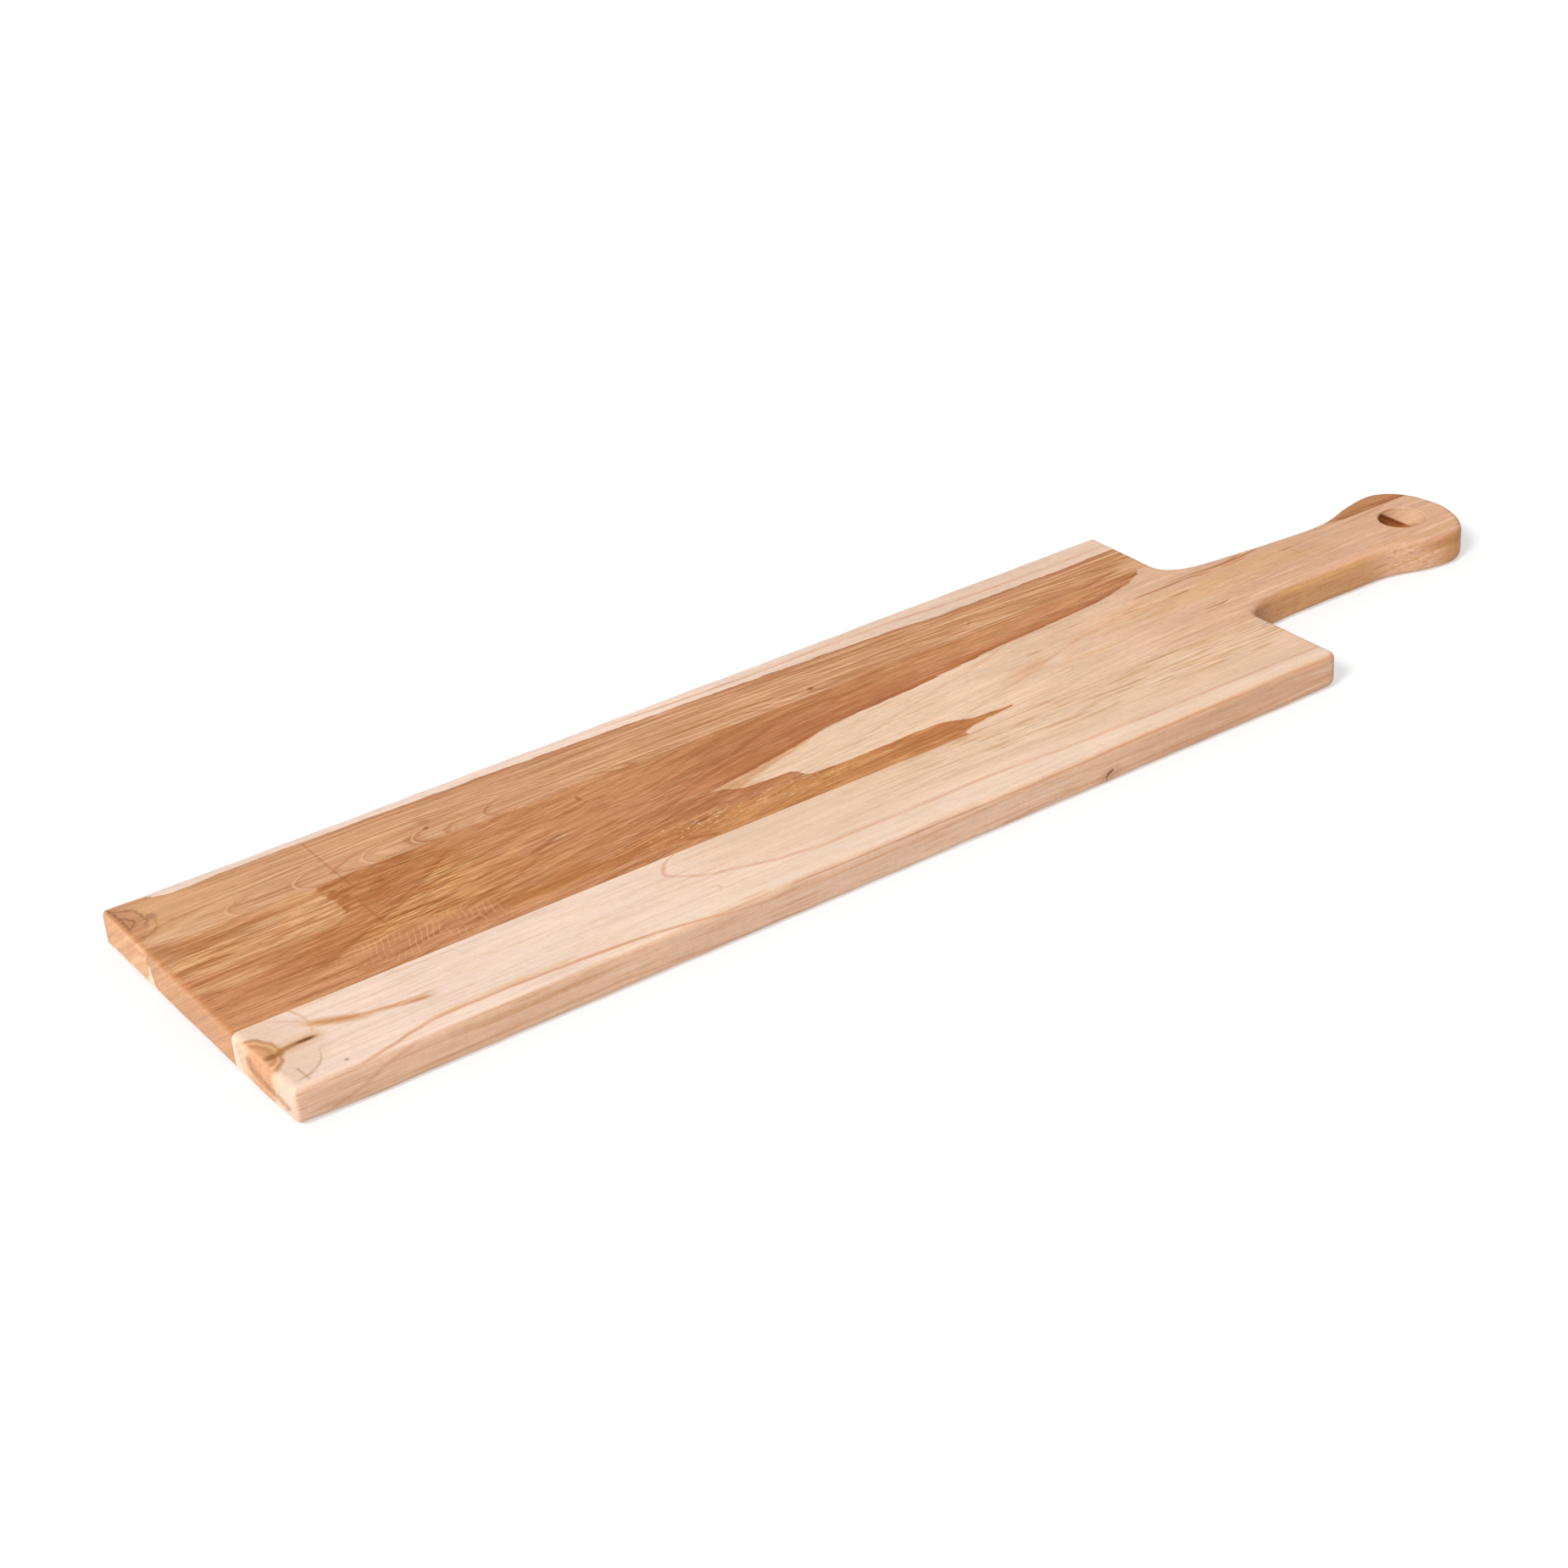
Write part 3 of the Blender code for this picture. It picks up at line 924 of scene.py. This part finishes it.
def rear_marks(wood):
    """Single growth lines, pin knots and the knot at the corner."""
    u, v = wood.u, wood.v
    wood.lines(REAR_LINES)
    wood.line([(30, 77.6), (50, 77.4), (70, 77.8)], 0.8, (176, 112, 72), 0.55, upright=True)
    wood.blot((461, 41), (12, 4.5), (214, 166, 126), 0.9)
    wood.blot((118.5, 47.5), (1.1, 0.9), (140, 80, 46), 0.8)
    wood.blot((120, 52), (2.5, 3.0), (184, 120, 84), 0.5)
    wood.blot((290, 41.7), (1.6, 1.1), (134, 76, 38), 0.8)
    wood.blot((372, 45), (1.8, 0.6), (166, 100, 60), 0.6, turn=40)
    away = wood.math("SQRT", u * u + (v - 60) * (v - 60))
    away = away + (wood.noise(6, 6, 34) - 0.5) * 7.0
    wood.paint((190, 132, 94), away.rise(14, 6) * 0.7)
    wood.paint((150, 98, 70), abs(away - 10).rise(1.3, 0.0) * v.rise(50, 56) * 0.55)
    wood.paint((176, 112, 70), abs(away - 14).rise(1.0, 0.0) * v.rise(60, 52) * 0.5)
    wood.paint((140, 92, 74), abs(away - 5.0).rise(1.2, 0.0) * 0.6)
    wood.blot((12, 58.5), (2.2, 2.4), (158, 106, 80), 0.5)
    wood.paint((238, 190, 150), wood.left_face() * 0.45)
    wood.end_patch()
    wood.line([(54, 2.2), (62, 2.4), (73, 1.6)], 1.0, (128, 84, 68), 0.65, upright=True, fade=3)


def rear_sap(wood):
    """The strip of sapwood along the far edge."""
    u = wood.u
    sap = wood.above(REAR_SAP_EDGE, 0.3)
    edge = (wood.v - wood.follow(u, REAR_SAP_EDGE)).rise(-3.0, 0.0)
    wood.paint((166, 104, 68), edge * u.rise(60, 150) * wood.uneven * 0.75)
    wood.paint((240, 213, 194), sap)
    # Darker towards the right end: partly the wood's own tone, partly painted fall-off of the light
    # from the left end
    wood.paint((227, 196, 172), sap * u.rise(200, 380))
    wood.streaks(sap, 60, 1.0, 36, (222, 178, 150), 0.5)
    wood.lines(REAR_SAP_LINES, fade=40)
    wood.paint((208, 160, 128), sap * wood.facing_y.rise(0.3, 0.9) * 0.35)


def rear_wood():
    """Heartwood with arched growth lines, a knot at the corner and a strip of sapwood."""
    wood = Wood("rear_heartwood", (214, 163, 124), LEVEL_GRAIN)
    for draw in (rear_rings, rear_loops, rear_marks, rear_sap):
        wood.layer(draw)
    return wood.finish(grain=0.28, pore=0.12, lift=1.02)


# The middle stave's pale wedge: its upper and lower borders
WEDGE_TOP = [
    (212, -1), (222, 0.8), (236, 2.6), (250, 5), (265, 8.5), (280, 11.5), (300, 13), (320, 14.5),
    (350, 18), (365, 19.5), (400, 22), (420, 23.5), (440, 28), (452, 33), (458, 42), (470, 60),
    (600, 60),
]
WEDGE_BRIGHT = [(222, -7), (238, -1), (260, 5.5), (275, 10.5), (300, 14)]
WEDGE_FOOT = [
    (211, -1), (218, -3), (224, -6.6), (236, -7.6), (244, -8.4), (247, -11), (249, -14.6),
    (280, -15.8), (300, -15.3), (312, -16.5), (320, -20), (326, -21.3), (342, -22.4),
]
# Where the dark tongue under the wedge ends, as points (v, u)
TONGUE_END = [
    (-96, 300), (-32, 314), (-29, 313), (-26.5, 317), (-24.5, 326), (-22.6, 341), (-21.4, 330),
    (-19, 320), (-14, 314),
]
# The dark band that crosses the left half
BAND_TOP = [(0, -12), (20, -7), (35, 0), (50, 5), (68, 12), (90, 20), (120, 34)]
BAND_FOOT = [(0, -42), (38, -18), (50, -12), (75, 0), (100, 15), (115, 25)]
HEART_LINES = [
    ([(0, 26.5), (15, 26.3), (30, 29), (50, 30.3), (68, 31)], 1.3, (178, 118, 74), 0.8),
    ([(0, 16), (12, 17), (24, 15.5)], 0.8, (166, 106, 58), 0.85),
    ([(4, 22.8), (14, 23.2), (24, 23)], 0.8, (168, 108, 62), 0.8),
    ([(10, 25.6), (17, 25.2), (24, 26)], 0.7, (160, 102, 58), 0.8),
    ([(0, 12), (8, 12.2)], 0.8, (172, 112, 68), 0.8),
    ([(30, 20), (40, 20.6), (48, 20)], 0.7, (180, 118, 68), 0.7),
    ([(18, 10), (34, 9.5), (50, 12)], 1.0, (180, 120, 78), 0.6),
    ([(36, 13), (48, 16), (58, 17.5)], 1.6, (188, 128, 88), 0.7),
    ([(0, 31.5), (10, 31), (20, 30)], 1.6, (190, 132, 90), 0.6),
    ([(20, 36.5), (26, 35), (36, 36)], 1.0, (184, 124, 82), 0.6),
    ([(38, -18.8), (45, -17.8), (52, -17.3)], 1.0, (224, 170, 118), 0.8),
    ([(52, -11.5), (62, -11.8), (70, -10.5)], 0.9, (226, 172, 120), 0.8),
    ([(138, 5), (146, 7), (154, 9.5)], 1.7, (158, 100, 66), 0.8),
    ([(150, 7.7), (155, 8.4)], 0.5, (236, 200, 160), 0.9),
    ([(152, 13), (160, 15.5), (172, 19)], 0.7, (216, 160, 108), 0.6),
    ([(175, -7), (190, -2), (205, 3.5), (218, 8)], 0.8, (168, 104, 62), 0.7),
    ([(198, -1), (215, 7), (230, 11), (242, 14)], 0.7, (218, 158, 106), 0.6),
    ([(88, -1), (100, 0.5), (112, 4)], 1.4, (172, 110, 58), 0.6),
    ([(100, -13), (112, -9), (125, -6), (135, -1), (145, 3)], 1.2, (170, 108, 58), 0.6),
    ([(110, -17), (128, -19), (140, -19)], 2.2, (172, 110, 58), 0.6),
    ([(125, 26), (135, 31), (150, 35)], 0.9, (178, 116, 72), 0.5),
    ([(170, 37), (186, 39), (200, 36.5)], 2.0, (176, 112, 58), 0.7),
    ([(150, 14.5), (190, 16.5), (232, 17.5)], 1.1, (172, 110, 70), 0.5),
    ([(236, 18), (248, 22.5), (262, 27)], 1.6, (158, 94, 52), 0.7),
    ([(240, 30), (262, 30.5), (300, 29.5), (310, 29.8)], 0.9, (166, 104, 62), 0.6),
    ([(186, -24), (195, -27.5), (200, -30)], 1.8, (164, 100, 46), 0.7),
    ([(196, -16.7), (203, -16.3)], 0.8, (112, 66, 42), 0.9),
    ([(270, 18), (300, 19.5), (330, 21)], 1.2, (168, 104, 62), 0.5),
    ([(330, 36.5), (352, 35.5), (362, 34)], 1.8, (170, 106, 62), 0.55),
    ([(395, 24.5), (415, 24.3), (430, 25.5)], 1.6, (196, 134, 74), 0.6),
    ([(420, 31.5), (436, 32.5), (452, 33.5)], 1.0, (150, 88, 56), 0.7),
]
SAP_LINES = [
    ([(285, -4), (310, 3), (330, 8), (345, 11), (372, 20)], 1.1, (216, 170, 142), 0.55),
    ([(322, -17), (345, -11), (362, -7), (380, -1), (400, 4.5), (420, 8), (440, 13), (456, 16)],
     1.0, (214, 166, 132), 0.6),
    ([(371, 5.8), (378, 5.8)], 0.6, (166, 106, 66), 0.9),
    ([(424, 8.1), (432, 8.1)], 0.6, (180, 120, 80), 0.9),
    ([(448, 7.4), (458, 7.5)], 0.7, (160, 100, 62), 0.9),
    ([(452, -11), (458, -11.3), (464, -10.3)], 0.6, (150, 90, 54), 0.9),
    ([(512, 9.2), (517, 9.5)], 0.6, (150, 86, 44), 0.9),
    ([(436, 16.2), (455, 16.4), (475, 16.2), (505, 18)], 0.9, (168, 100, 54), 0.8),
    ([(456, 18.0), (465, 18.2), (482, 17.2), (496, 18.6)], 0.8, (172, 106, 60), 0.8),
    ([(468, 14.8), (482, 14.3), (496, 14.8)], 0.9, (186, 122, 70), 0.8),
    ([(536, 9.8), (552, 11), (575, 13)], 0.8, (184, 134, 98), 0.65),
    ([(520, 9.5), (545, 9.8), (570, 12)], 0.7, (192, 142, 104), 0.5),
    ([(500, -35.8), (530, -34.2), (560, -33.2), (574, -32)], 1.2, (190, 134, 76), 0.5),
    ([(540, -13), (552, -16), (565, -19)], 2.6, (206, 160, 112), 0.4),
    ([(566, -20), (580, -20), (592, -17)], 3.0, (208, 162, 106), 0.5),
]


def left_zones(wood):
    """Golden and darker zones of the left half."""
    u, ragged_u, ragged_v = wood.u, wood.ragged_u, wood.ragged_v
    golden = (228, 177, 130)
    left_field = u.rise(75, 66) * ragged_v.rise(5, 14)
    wood.paint(golden, left_field * 0.9)
    wood.paint(golden, ragged_v.window(-2.5, 2.5, 2) * ragged_u.rise(34, 16) * 0.85)
    wood.paint((194, 132, 88), ragged_v.window(3.5, 9.0, 2) * ragged_u.rise(46, 20) * 0.6)
    wood.paint((186, 124, 80), ragged_v.window(29, 35, 2) * ragged_u.rise(60, 36) * 0.55)
    wood.streaks(left_field, 28, 0.9, 41, (170, 106, 58), 0.65, sparse=0.5)
    wood.streaks(left_field, 34, 1.6, 52, (234, 188, 140), 0.5, sparse=0.52)
    lumps = (wood.noise(5, 5, 40) - 0.5) * 11.0
    patch = (u + lumps).rise(66.0, 68.0) * ragged_v.rise(-8, 8) * ragged_u.rise(140, 100)
    wood.paint((186, 120, 73), patch)
    mottle = wood.noise(8, 2.5, 53, detail=4.0)
    wood.paint((164, 98, 52), patch * mottle.rise(0.5, 0.66) * 0.7)
    wood.paint((206, 144, 96), patch * mottle.rise(0.46, 0.34) * 0.5)
    band = wood.above(BAND_FOOT, 1.6) * wood.below(BAND_TOP, 2.5)
    wood.paint((188, 124, 80), band * u.rise(122, 96) * 0.9)
    foot = (ragged_v - wood.follow(u, BAND_FOOT)).window(-0.5, 2.5, 1)
    wood.paint((160, 96, 50), foot * u.window(46, 118, 8) * wood.uneven * 0.75)
    wood.paint((214, 156, 112), wood.v.rise(-8, -22) * ragged_u.rise(60, 30) * 0.75)
    field = wood.below(BAND_FOOT, 1.2) * u.rise(36, 60) * ragged_v.rise(-16, -8)
    field = field * ragged_u.rise(200, 110)
    wood.paint((212, 154, 100), field * 0.75)
    wood.streaks(field, 26, 1.0, 42, (156, 92, 40), 1.0, sparse=0.47)
    wood.streaks(field, 28, 1.1, 43, (236, 188, 134), 0.85, sparse=0.52)


def right_zones(wood):
    """Zones between the left field and the pale wedge."""
    u, v, ragged_u, ragged_v = wood.u, wood.v, wood.ragged_u, wood.ragged_v
    wood.paint((202, 146, 108), v.rise(-12, -24) * u.window(60, 180, 25) * 0.5)
    wood.paint((180, 114, 58), ragged_v.window(-24, -14, 3) * ragged_u.window(112, 200, 15) * 0.75)
    wood.paint((197, 138, 97), ragged_v.window(-14, 30, 8) * ragged_u.window(118, 190, 12) * 0.6)
    wood.paint((184, 120, 82), ragged_v.window(-13, 0, 3) * ragged_u.window(176, 258, 14) * 0.8)
    wood.paint((186, 122, 80), ragged_v.window(2, 22, 5) * ragged_u.rise(195, 235) * 0.65)
    wood.paint((198, 142, 94), ragged_v.rise(24, 33) * ragged_u.rise(130, 180) * 0.6)
    wood.paint((204, 148, 104), ragged_v.window(23, 32, 3) * ragged_u.window(185, 240, 14) * 0.5)
    tongue = ragged_v.rise(-13, -18) * ragged_u.rise(185, 215)
    wood.paint((203, 143, 87), tongue * 0.9)
    wood.paint((183, 117, 69), tongue * u.rise(255, 305) * 0.9)
    wood.streaks(tongue, 20, 1.3, 57, (212, 152, 98), 0.6, sparse=0.5)
    deep = u.rise(-30, 0)
    wood.streaks(deep, 26, 1.0, 44, (160, 96, 52), 0.6, sparse=0.5, flowing=True)
    wood.streaks(deep, 16, 0.9, 58, (166, 102, 58), 0.5, sparse=0.5)
    wood.streaks(deep, 18, 1.0, 59, (224, 168, 120), 0.5, sparse=0.52)
    wood.streaks(deep, 44, 3.2, 54, (168, 104, 60), 0.38, sparse=0.5, flowing=True)
    wood.streaks(deep, 22, 1.2, 45, (226, 170, 122), 0.45, flowing=True)
    flecks = wood.noise(2.6, 0.5, 46, detail=0.0).rise(0.70, 0.78)
    zone = v.window(-24, -12, 3) * u.window(175, 262, 12)
    wood.paint((240, 208, 170), flecks * zone * 0.9)
    ladder(wood)


def ladder(wood):
    """Bright ray flecks that stand across the grain like rungs."""
    u, v = wood.u, wood.v
    lean = u - v * 0.3 + (wood.noise(40, 12, 47) - 0.5) * 8.0
    rung = wood.math("PINGPONG", lean, 1.3).rise(0.5, 0.0)
    zone = v.window(-27, -9, 2) * u.window(46, 112, 6)
    broken = wood.noise(9, 9, 48).rise(0.42, 0.58)
    wood.paint((228, 176, 130), rung * zone * broken * 0.45)


def heart_lines(wood):
    wood.lines(HEART_LINES, fade=5)
    for spot in ((70, 29.7), (72, 23.5), (68.5, 16), (87, 25)):
        wood.blot(spot, (1.7, 1.1), (152, 88, 44), 0.6)
    wood.blot((173, 28.3), (0.9, 2.0), (156, 92, 54), 0.7)
    wood.line([(27, 77.8), (32, 77.5), (40, 77.6)], 0.8, (160, 96, 54), 0.6, upright=True)
    wood.line([(-3, 74.4), (10, 74.2), (21, 75)], 0.9, (164, 98, 54), 0.5, upright=True)


def pale_wedge(wood):
    """The sapwood wedge, which widens into the handle, with its own tints and lines."""
    u, v, ragged_v = wood.u, wood.v, wood.ragged_v
    top = wood.below(WEDGE_TOP, 0.45)
    over_foot = wood.above(WEDGE_FOOT, 0.4)
    beyond = (u - wood.follow(ragged_v, TONGUE_END)).rise(-0.8, 0.8) * u.rise(290, 300)
    frayed = (wood.noise(14, 0.9, 55) - 0.5) * 12.0
    open_end = (u + frayed).rise(207, 214)
    wedge = top * over_foot.highest(beyond) * open_end
    over = v - wood.follow(u, WEDGE_TOP)
    edge = over.rise(4.5, 0.0) * over.rise(-2.0, -1.0)
    wood.paint((164, 98, 56), edge * u.window(225, 445, 12) * wood.uneven * 0.85)
    under = (v - wood.follow(u, WEDGE_FOOT)).rise(-3.0, 0.0)
    wood.paint((170, 104, 64), under * u.window(205, 320, 12) * wood.uneven * 0.35)
    wood.paint((214, 163, 122), wedge)
    bright = wood.below(WEDGE_BRIGHT, 0.9) * (u + frayed).rise(216, 240)
    wood.paint((232, 198, 169), wedge * bright.highest(u.rise(262, 300)))
    # Darker towards the right end: partly the wood's own tone, partly painted fall-off of the light
    # from the left end
    wood.paint((224, 187, 157), wedge * u.rise(320, 400))
    wood.paint((219, 177, 146), wedge * u.rise(400, 450))
    wood.paint((213, 168, 137), wedge * u.rise(450, 490))
    golden = wedge * ragged_v.window(-2, 12, 4) * wood.ragged_u.window(410, 520, 20)
    wood.paint((213, 166, 116), golden * 0.5)
    wood.paint((218, 168, 136), wedge * v.rise(-8, -18) * u.rise(430, 470) * 0.5)
    wood.streaks(wedge, 40, 1.4, 49, (205, 157, 115), 0.45, sparse=0.52)
    wood.streaks(wedge, 30, 1.8, 56, (240, 205, 176), 0.35)
    wood.blot((366, -4), (13, 3.5), (212, 162, 122), 0.6, turn=8, soft=0.8)
    wood.blot((378, -5), (5, 2.0), (242, 212, 188), 0.4, turn=8, soft=0.8)
    wood.blot((396, -10), (14, 1.6), (226, 180, 134), 0.6, soft=0.8)
    wood.blot((396, 4), (8, 2.4), (222, 170, 128), 0.5, turn=10, soft=0.8)


def handle_marks(wood):
    v = wood.v
    wood.lines(SAP_LINES, fade=5)
    wood.line([(-1, 516), (5, 516), (11, 516.5)], 0.8, (196, 140, 92), 0.5, upright=True)
    path = wood.follow(wood.u, [(540, 17), (556, 14.6), (600, 14.2)])
    rim = (v - path).rise(-0.4, 0.4) * wood.ragged_u.rise(540, 556)
    wood.paint((184, 128, 86), rim)
    wood.paint((152, 94, 56), rim * (v - path).rise(7, 0) * wood.uneven * 0.8)
    wood.streaks(rim, 22, 0.9, 50, (206, 146, 108), 0.8, sparse=0.5)


# Seen from the camera's place, a line into the hanging hole moves this far along x and
# along y for each millimetre that it sinks; it places the painted shadow on the bore's wall
HOLE_SIGHT = (1.59, 1.54)


def knob_and_hole(wood):
    """The handle's near side with painted shade and a painted highlight, and the bored hole's wall
    with a painted shadow over its left part.
    """
    x, z = wood.x, wood.z
    near_side = wood.facing_y.rise(-0.55, -0.9) * x.rise(462, 468)
    # Painted shade: the near side darker towards the shoulder and where the knob turns away
    shade = near_side * (x.rise(548, 530) + x.rise(566, 576))
    wood.paint((202, 148, 100), shade * 0.85)
    # Painted shade: darker still close to the shoulder
    wood.paint((184, 128, 88), near_side * x.rise(482, 464) * 0.6)
    wood.streaks(near_side, 18, 0.8, 51, (178, 120, 72), 0.55, sparse=0.52)
    # Painted highlight: a golden band along the near side's upper arris
    wood.paint((220, 168, 112), near_side * z.window(12.0, 14.5, 0.7) * x.window(485, 540, 8) * 0.5)
    knob_arris = wood.facing_y.rise(-0.1, -0.5) * x.window(560, 584, 6) * z.window(9.5, 14.2, 1.2)
    wood.paint((180, 124, 74), knob_arris * 0.55)
    across, along = x - HOLE[0], wood.y - HOLE[1]
    from_hole = wood.math("SQRT", across * across + along * along)
    bore = from_hole.rise(HOLE_RADIUS + HOLE_LIP, HOLE_RADIUS + 0.2) * z.rise(14.8, 13.6)
    depth = z * -1.0 + THICKNESS
    inward = across - depth * HOLE_SIGHT[0]
    upward = along - depth * HOLE_SIGHT[1]
    wood.paint((229, 185, 149), bore)
    # Painted shadow: the left part of the bore's wall darker, darkest in a band within it
    wood.paint((160, 102, 58), bore * inward.rise(-3.0, -4.6))
    wood.paint((122, 66, 28), bore * inward.window(-6.4, -4.4, 1.4) * upward.rise(-9, -3) * 0.9)
    # Painted shade: the wall darker towards the bottom, on its left half
    wood.paint((186, 132, 90), bore * upward.rise(-6, -9) * inward.rise(2, -2) * 0.6)
    wood.paint((206, 160, 126), wood.left_face() * x.rise(40, 20) * 0.6)
    wood.end_patch()


def middle_wood():
    """Heartwood with darker and golden zones, and a pale wedge that fills the handle."""
    flow_path = [(0, 0), (50, 2), (110, 14), (180, 24), (260, 40), (330, 46), (460, 54), (600, 55)]
    wood = Wood("middle_heart_and_sapwood", (198, 138, 97), flow_path)
    for draw in (left_zones, right_zones, heart_lines, pale_wedge, handle_marks, knob_and_hole):
        wood.layer(draw)
    return wood.finish(grain=0.34, pore=0.16, lift=1.035)


def glue_tint(wood):
    wood.paint((214, 168, 132), wood.x.rise(300, 420))


def glue_material():
    """A hair-thin brown glue line."""
    wood = Wood("glue", (176, 122, 84), LEVEL_GRAIN)
    wood.layer(glue_tint)
    return wood.finish(grain=0.1, pore=0.0)


# ---------------------------------------------------------------- stage

# The photograph's viewpoint, in board coordinates
CAMERA_PLACE = (-310.4, -855.5, 571.3)
CAMERA_HEADING = math.radians(56.92)
CAMERA_DIP = math.radians(29.0)
CAMERA_ROLL = math.radians(-4.35)
LENS = 70.43
SENSOR_WIDTH = 36.0
NEAREST = 0.01
FARTHEST = 50.0


def direction(heading, rise):
    """The unit vector with this heading from +x and this rise above the horizontal."""
    level = math.cos(rise)
    return Vector((math.cos(heading) * level, math.sin(heading) * level, math.sin(rise)))


def add_camera():
    data = bpy.data.cameras.new("photo_camera")
    data.sensor_width = SENSOR_WIDTH
    data.lens = LENS
    data.clip_start = NEAREST
    data.clip_end = FARTHEST
    camera = bpy.data.objects.new("photo_camera", data)
    bpy.context.collection.objects.link(camera)
    ahead = direction(CAMERA_HEADING, -CAMERA_DIP)
    level = ahead.cross(Vector((0, 0, 1))).normalized()
    above = level.cross(ahead)
    right = level * math.cos(CAMERA_ROLL) + above * math.sin(CAMERA_ROLL)
    up = above * math.cos(CAMERA_ROLL) - level * math.sin(CAMERA_ROLL)
    turn = Matrix((right, up, -ahead)).transposed().to_4x4()
    x, y, z = CAMERA_PLACE
    camera.matrix_world = Matrix.Translation(((x + LEFT_END) * MM, y * MM, z * MM)) @ turn
    bpy.context.scene.camera = camera


FLOOR_SIZE = 30.0
FLOOR_DROP = 0.2 * MM
FLOOR_ALBEDO = 0.42
FLOOR_GLOW = 0.49


def add_floor():
    """A white light table: its own glow keeps the shadow faint."""
    bpy.ops.mesh.primitive_plane_add(size=FLOOR_SIZE, location=(0, 0, -FLOOR_DROP))
    floor = bpy.context.object
    floor.name = "floor"
    material = bpy.data.materials.new("floor_white")
    material.use_nodes = True
    shader = material.node_tree.nodes["Principled BSDF"]
    shader.inputs["Base Color"].default_value = (*(FLOOR_ALBEDO,) * 3, 1.0)
    shader.inputs["Roughness"].default_value = 0.8
    shader.inputs["Specular IOR Level"].default_value = 0.0
    shader.inputs["Emission Color"].default_value = (1.0, 1.0, 1.0, 1.0)
    shader.inputs["Emission Strength"].default_value = FLOOR_GLOW
    floor.data.materials.append(material)


WORLD_LEVEL = 0.64
KEY_HEADING = math.radians(-160)
KEY_HEIGHT = math.radians(40)
KEY_SPREAD = math.radians(16)
KEY_STRENGTH = 3.1


def add_lights():
    """An even white room, and a soft key light from the left end, slightly in front."""
    world = bpy.data.worlds.new("studio")
    bpy.context.scene.world = world
    world.use_nodes = True
    background = world.node_tree.nodes["Background"]
    background.inputs["Color"].default_value = (1.0, 1.0, 1.0, 1.0)
    background.inputs["Strength"].default_value = WORLD_LEVEL
    key = bpy.data.lights.new("key_light", "SUN")
    key.energy = KEY_STRENGTH
    key.angle = KEY_SPREAD
    lamp = bpy.data.objects.new("key_light", key)
    towards_lamp = direction(KEY_HEADING, KEY_HEIGHT)
    lamp.rotation_euler = towards_lamp.to_track_quat("Z", "Y").to_euler()
    bpy.context.collection.objects.link(lamp)


def main():
    bpy.context.scene.view_settings.view_transform = "Standard"
    add_groups()
    glue = glue_material()
    pieces = [
        (rear_stave(rear_wood()), "rear_stave", "heartwood"),
        (middle_stave(middle_wood()), "middle_stave", "heart_and_sapwood"),
        (front_stave(front_wood()), "front_stave", "sapwood"),
        (glue_line("rear_glue_film", glue, *REAR_GLUE), "rear_glue_line", "wood_glue"),
        (glue_line("front_glue_film", glue, *FRONT_GLUE), "front_glue_line", "wood_glue"),
    ]
    for piece, node, slot in pieces:
        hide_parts(node)
    add_floor()
    add_lights()
    add_camera()


main()
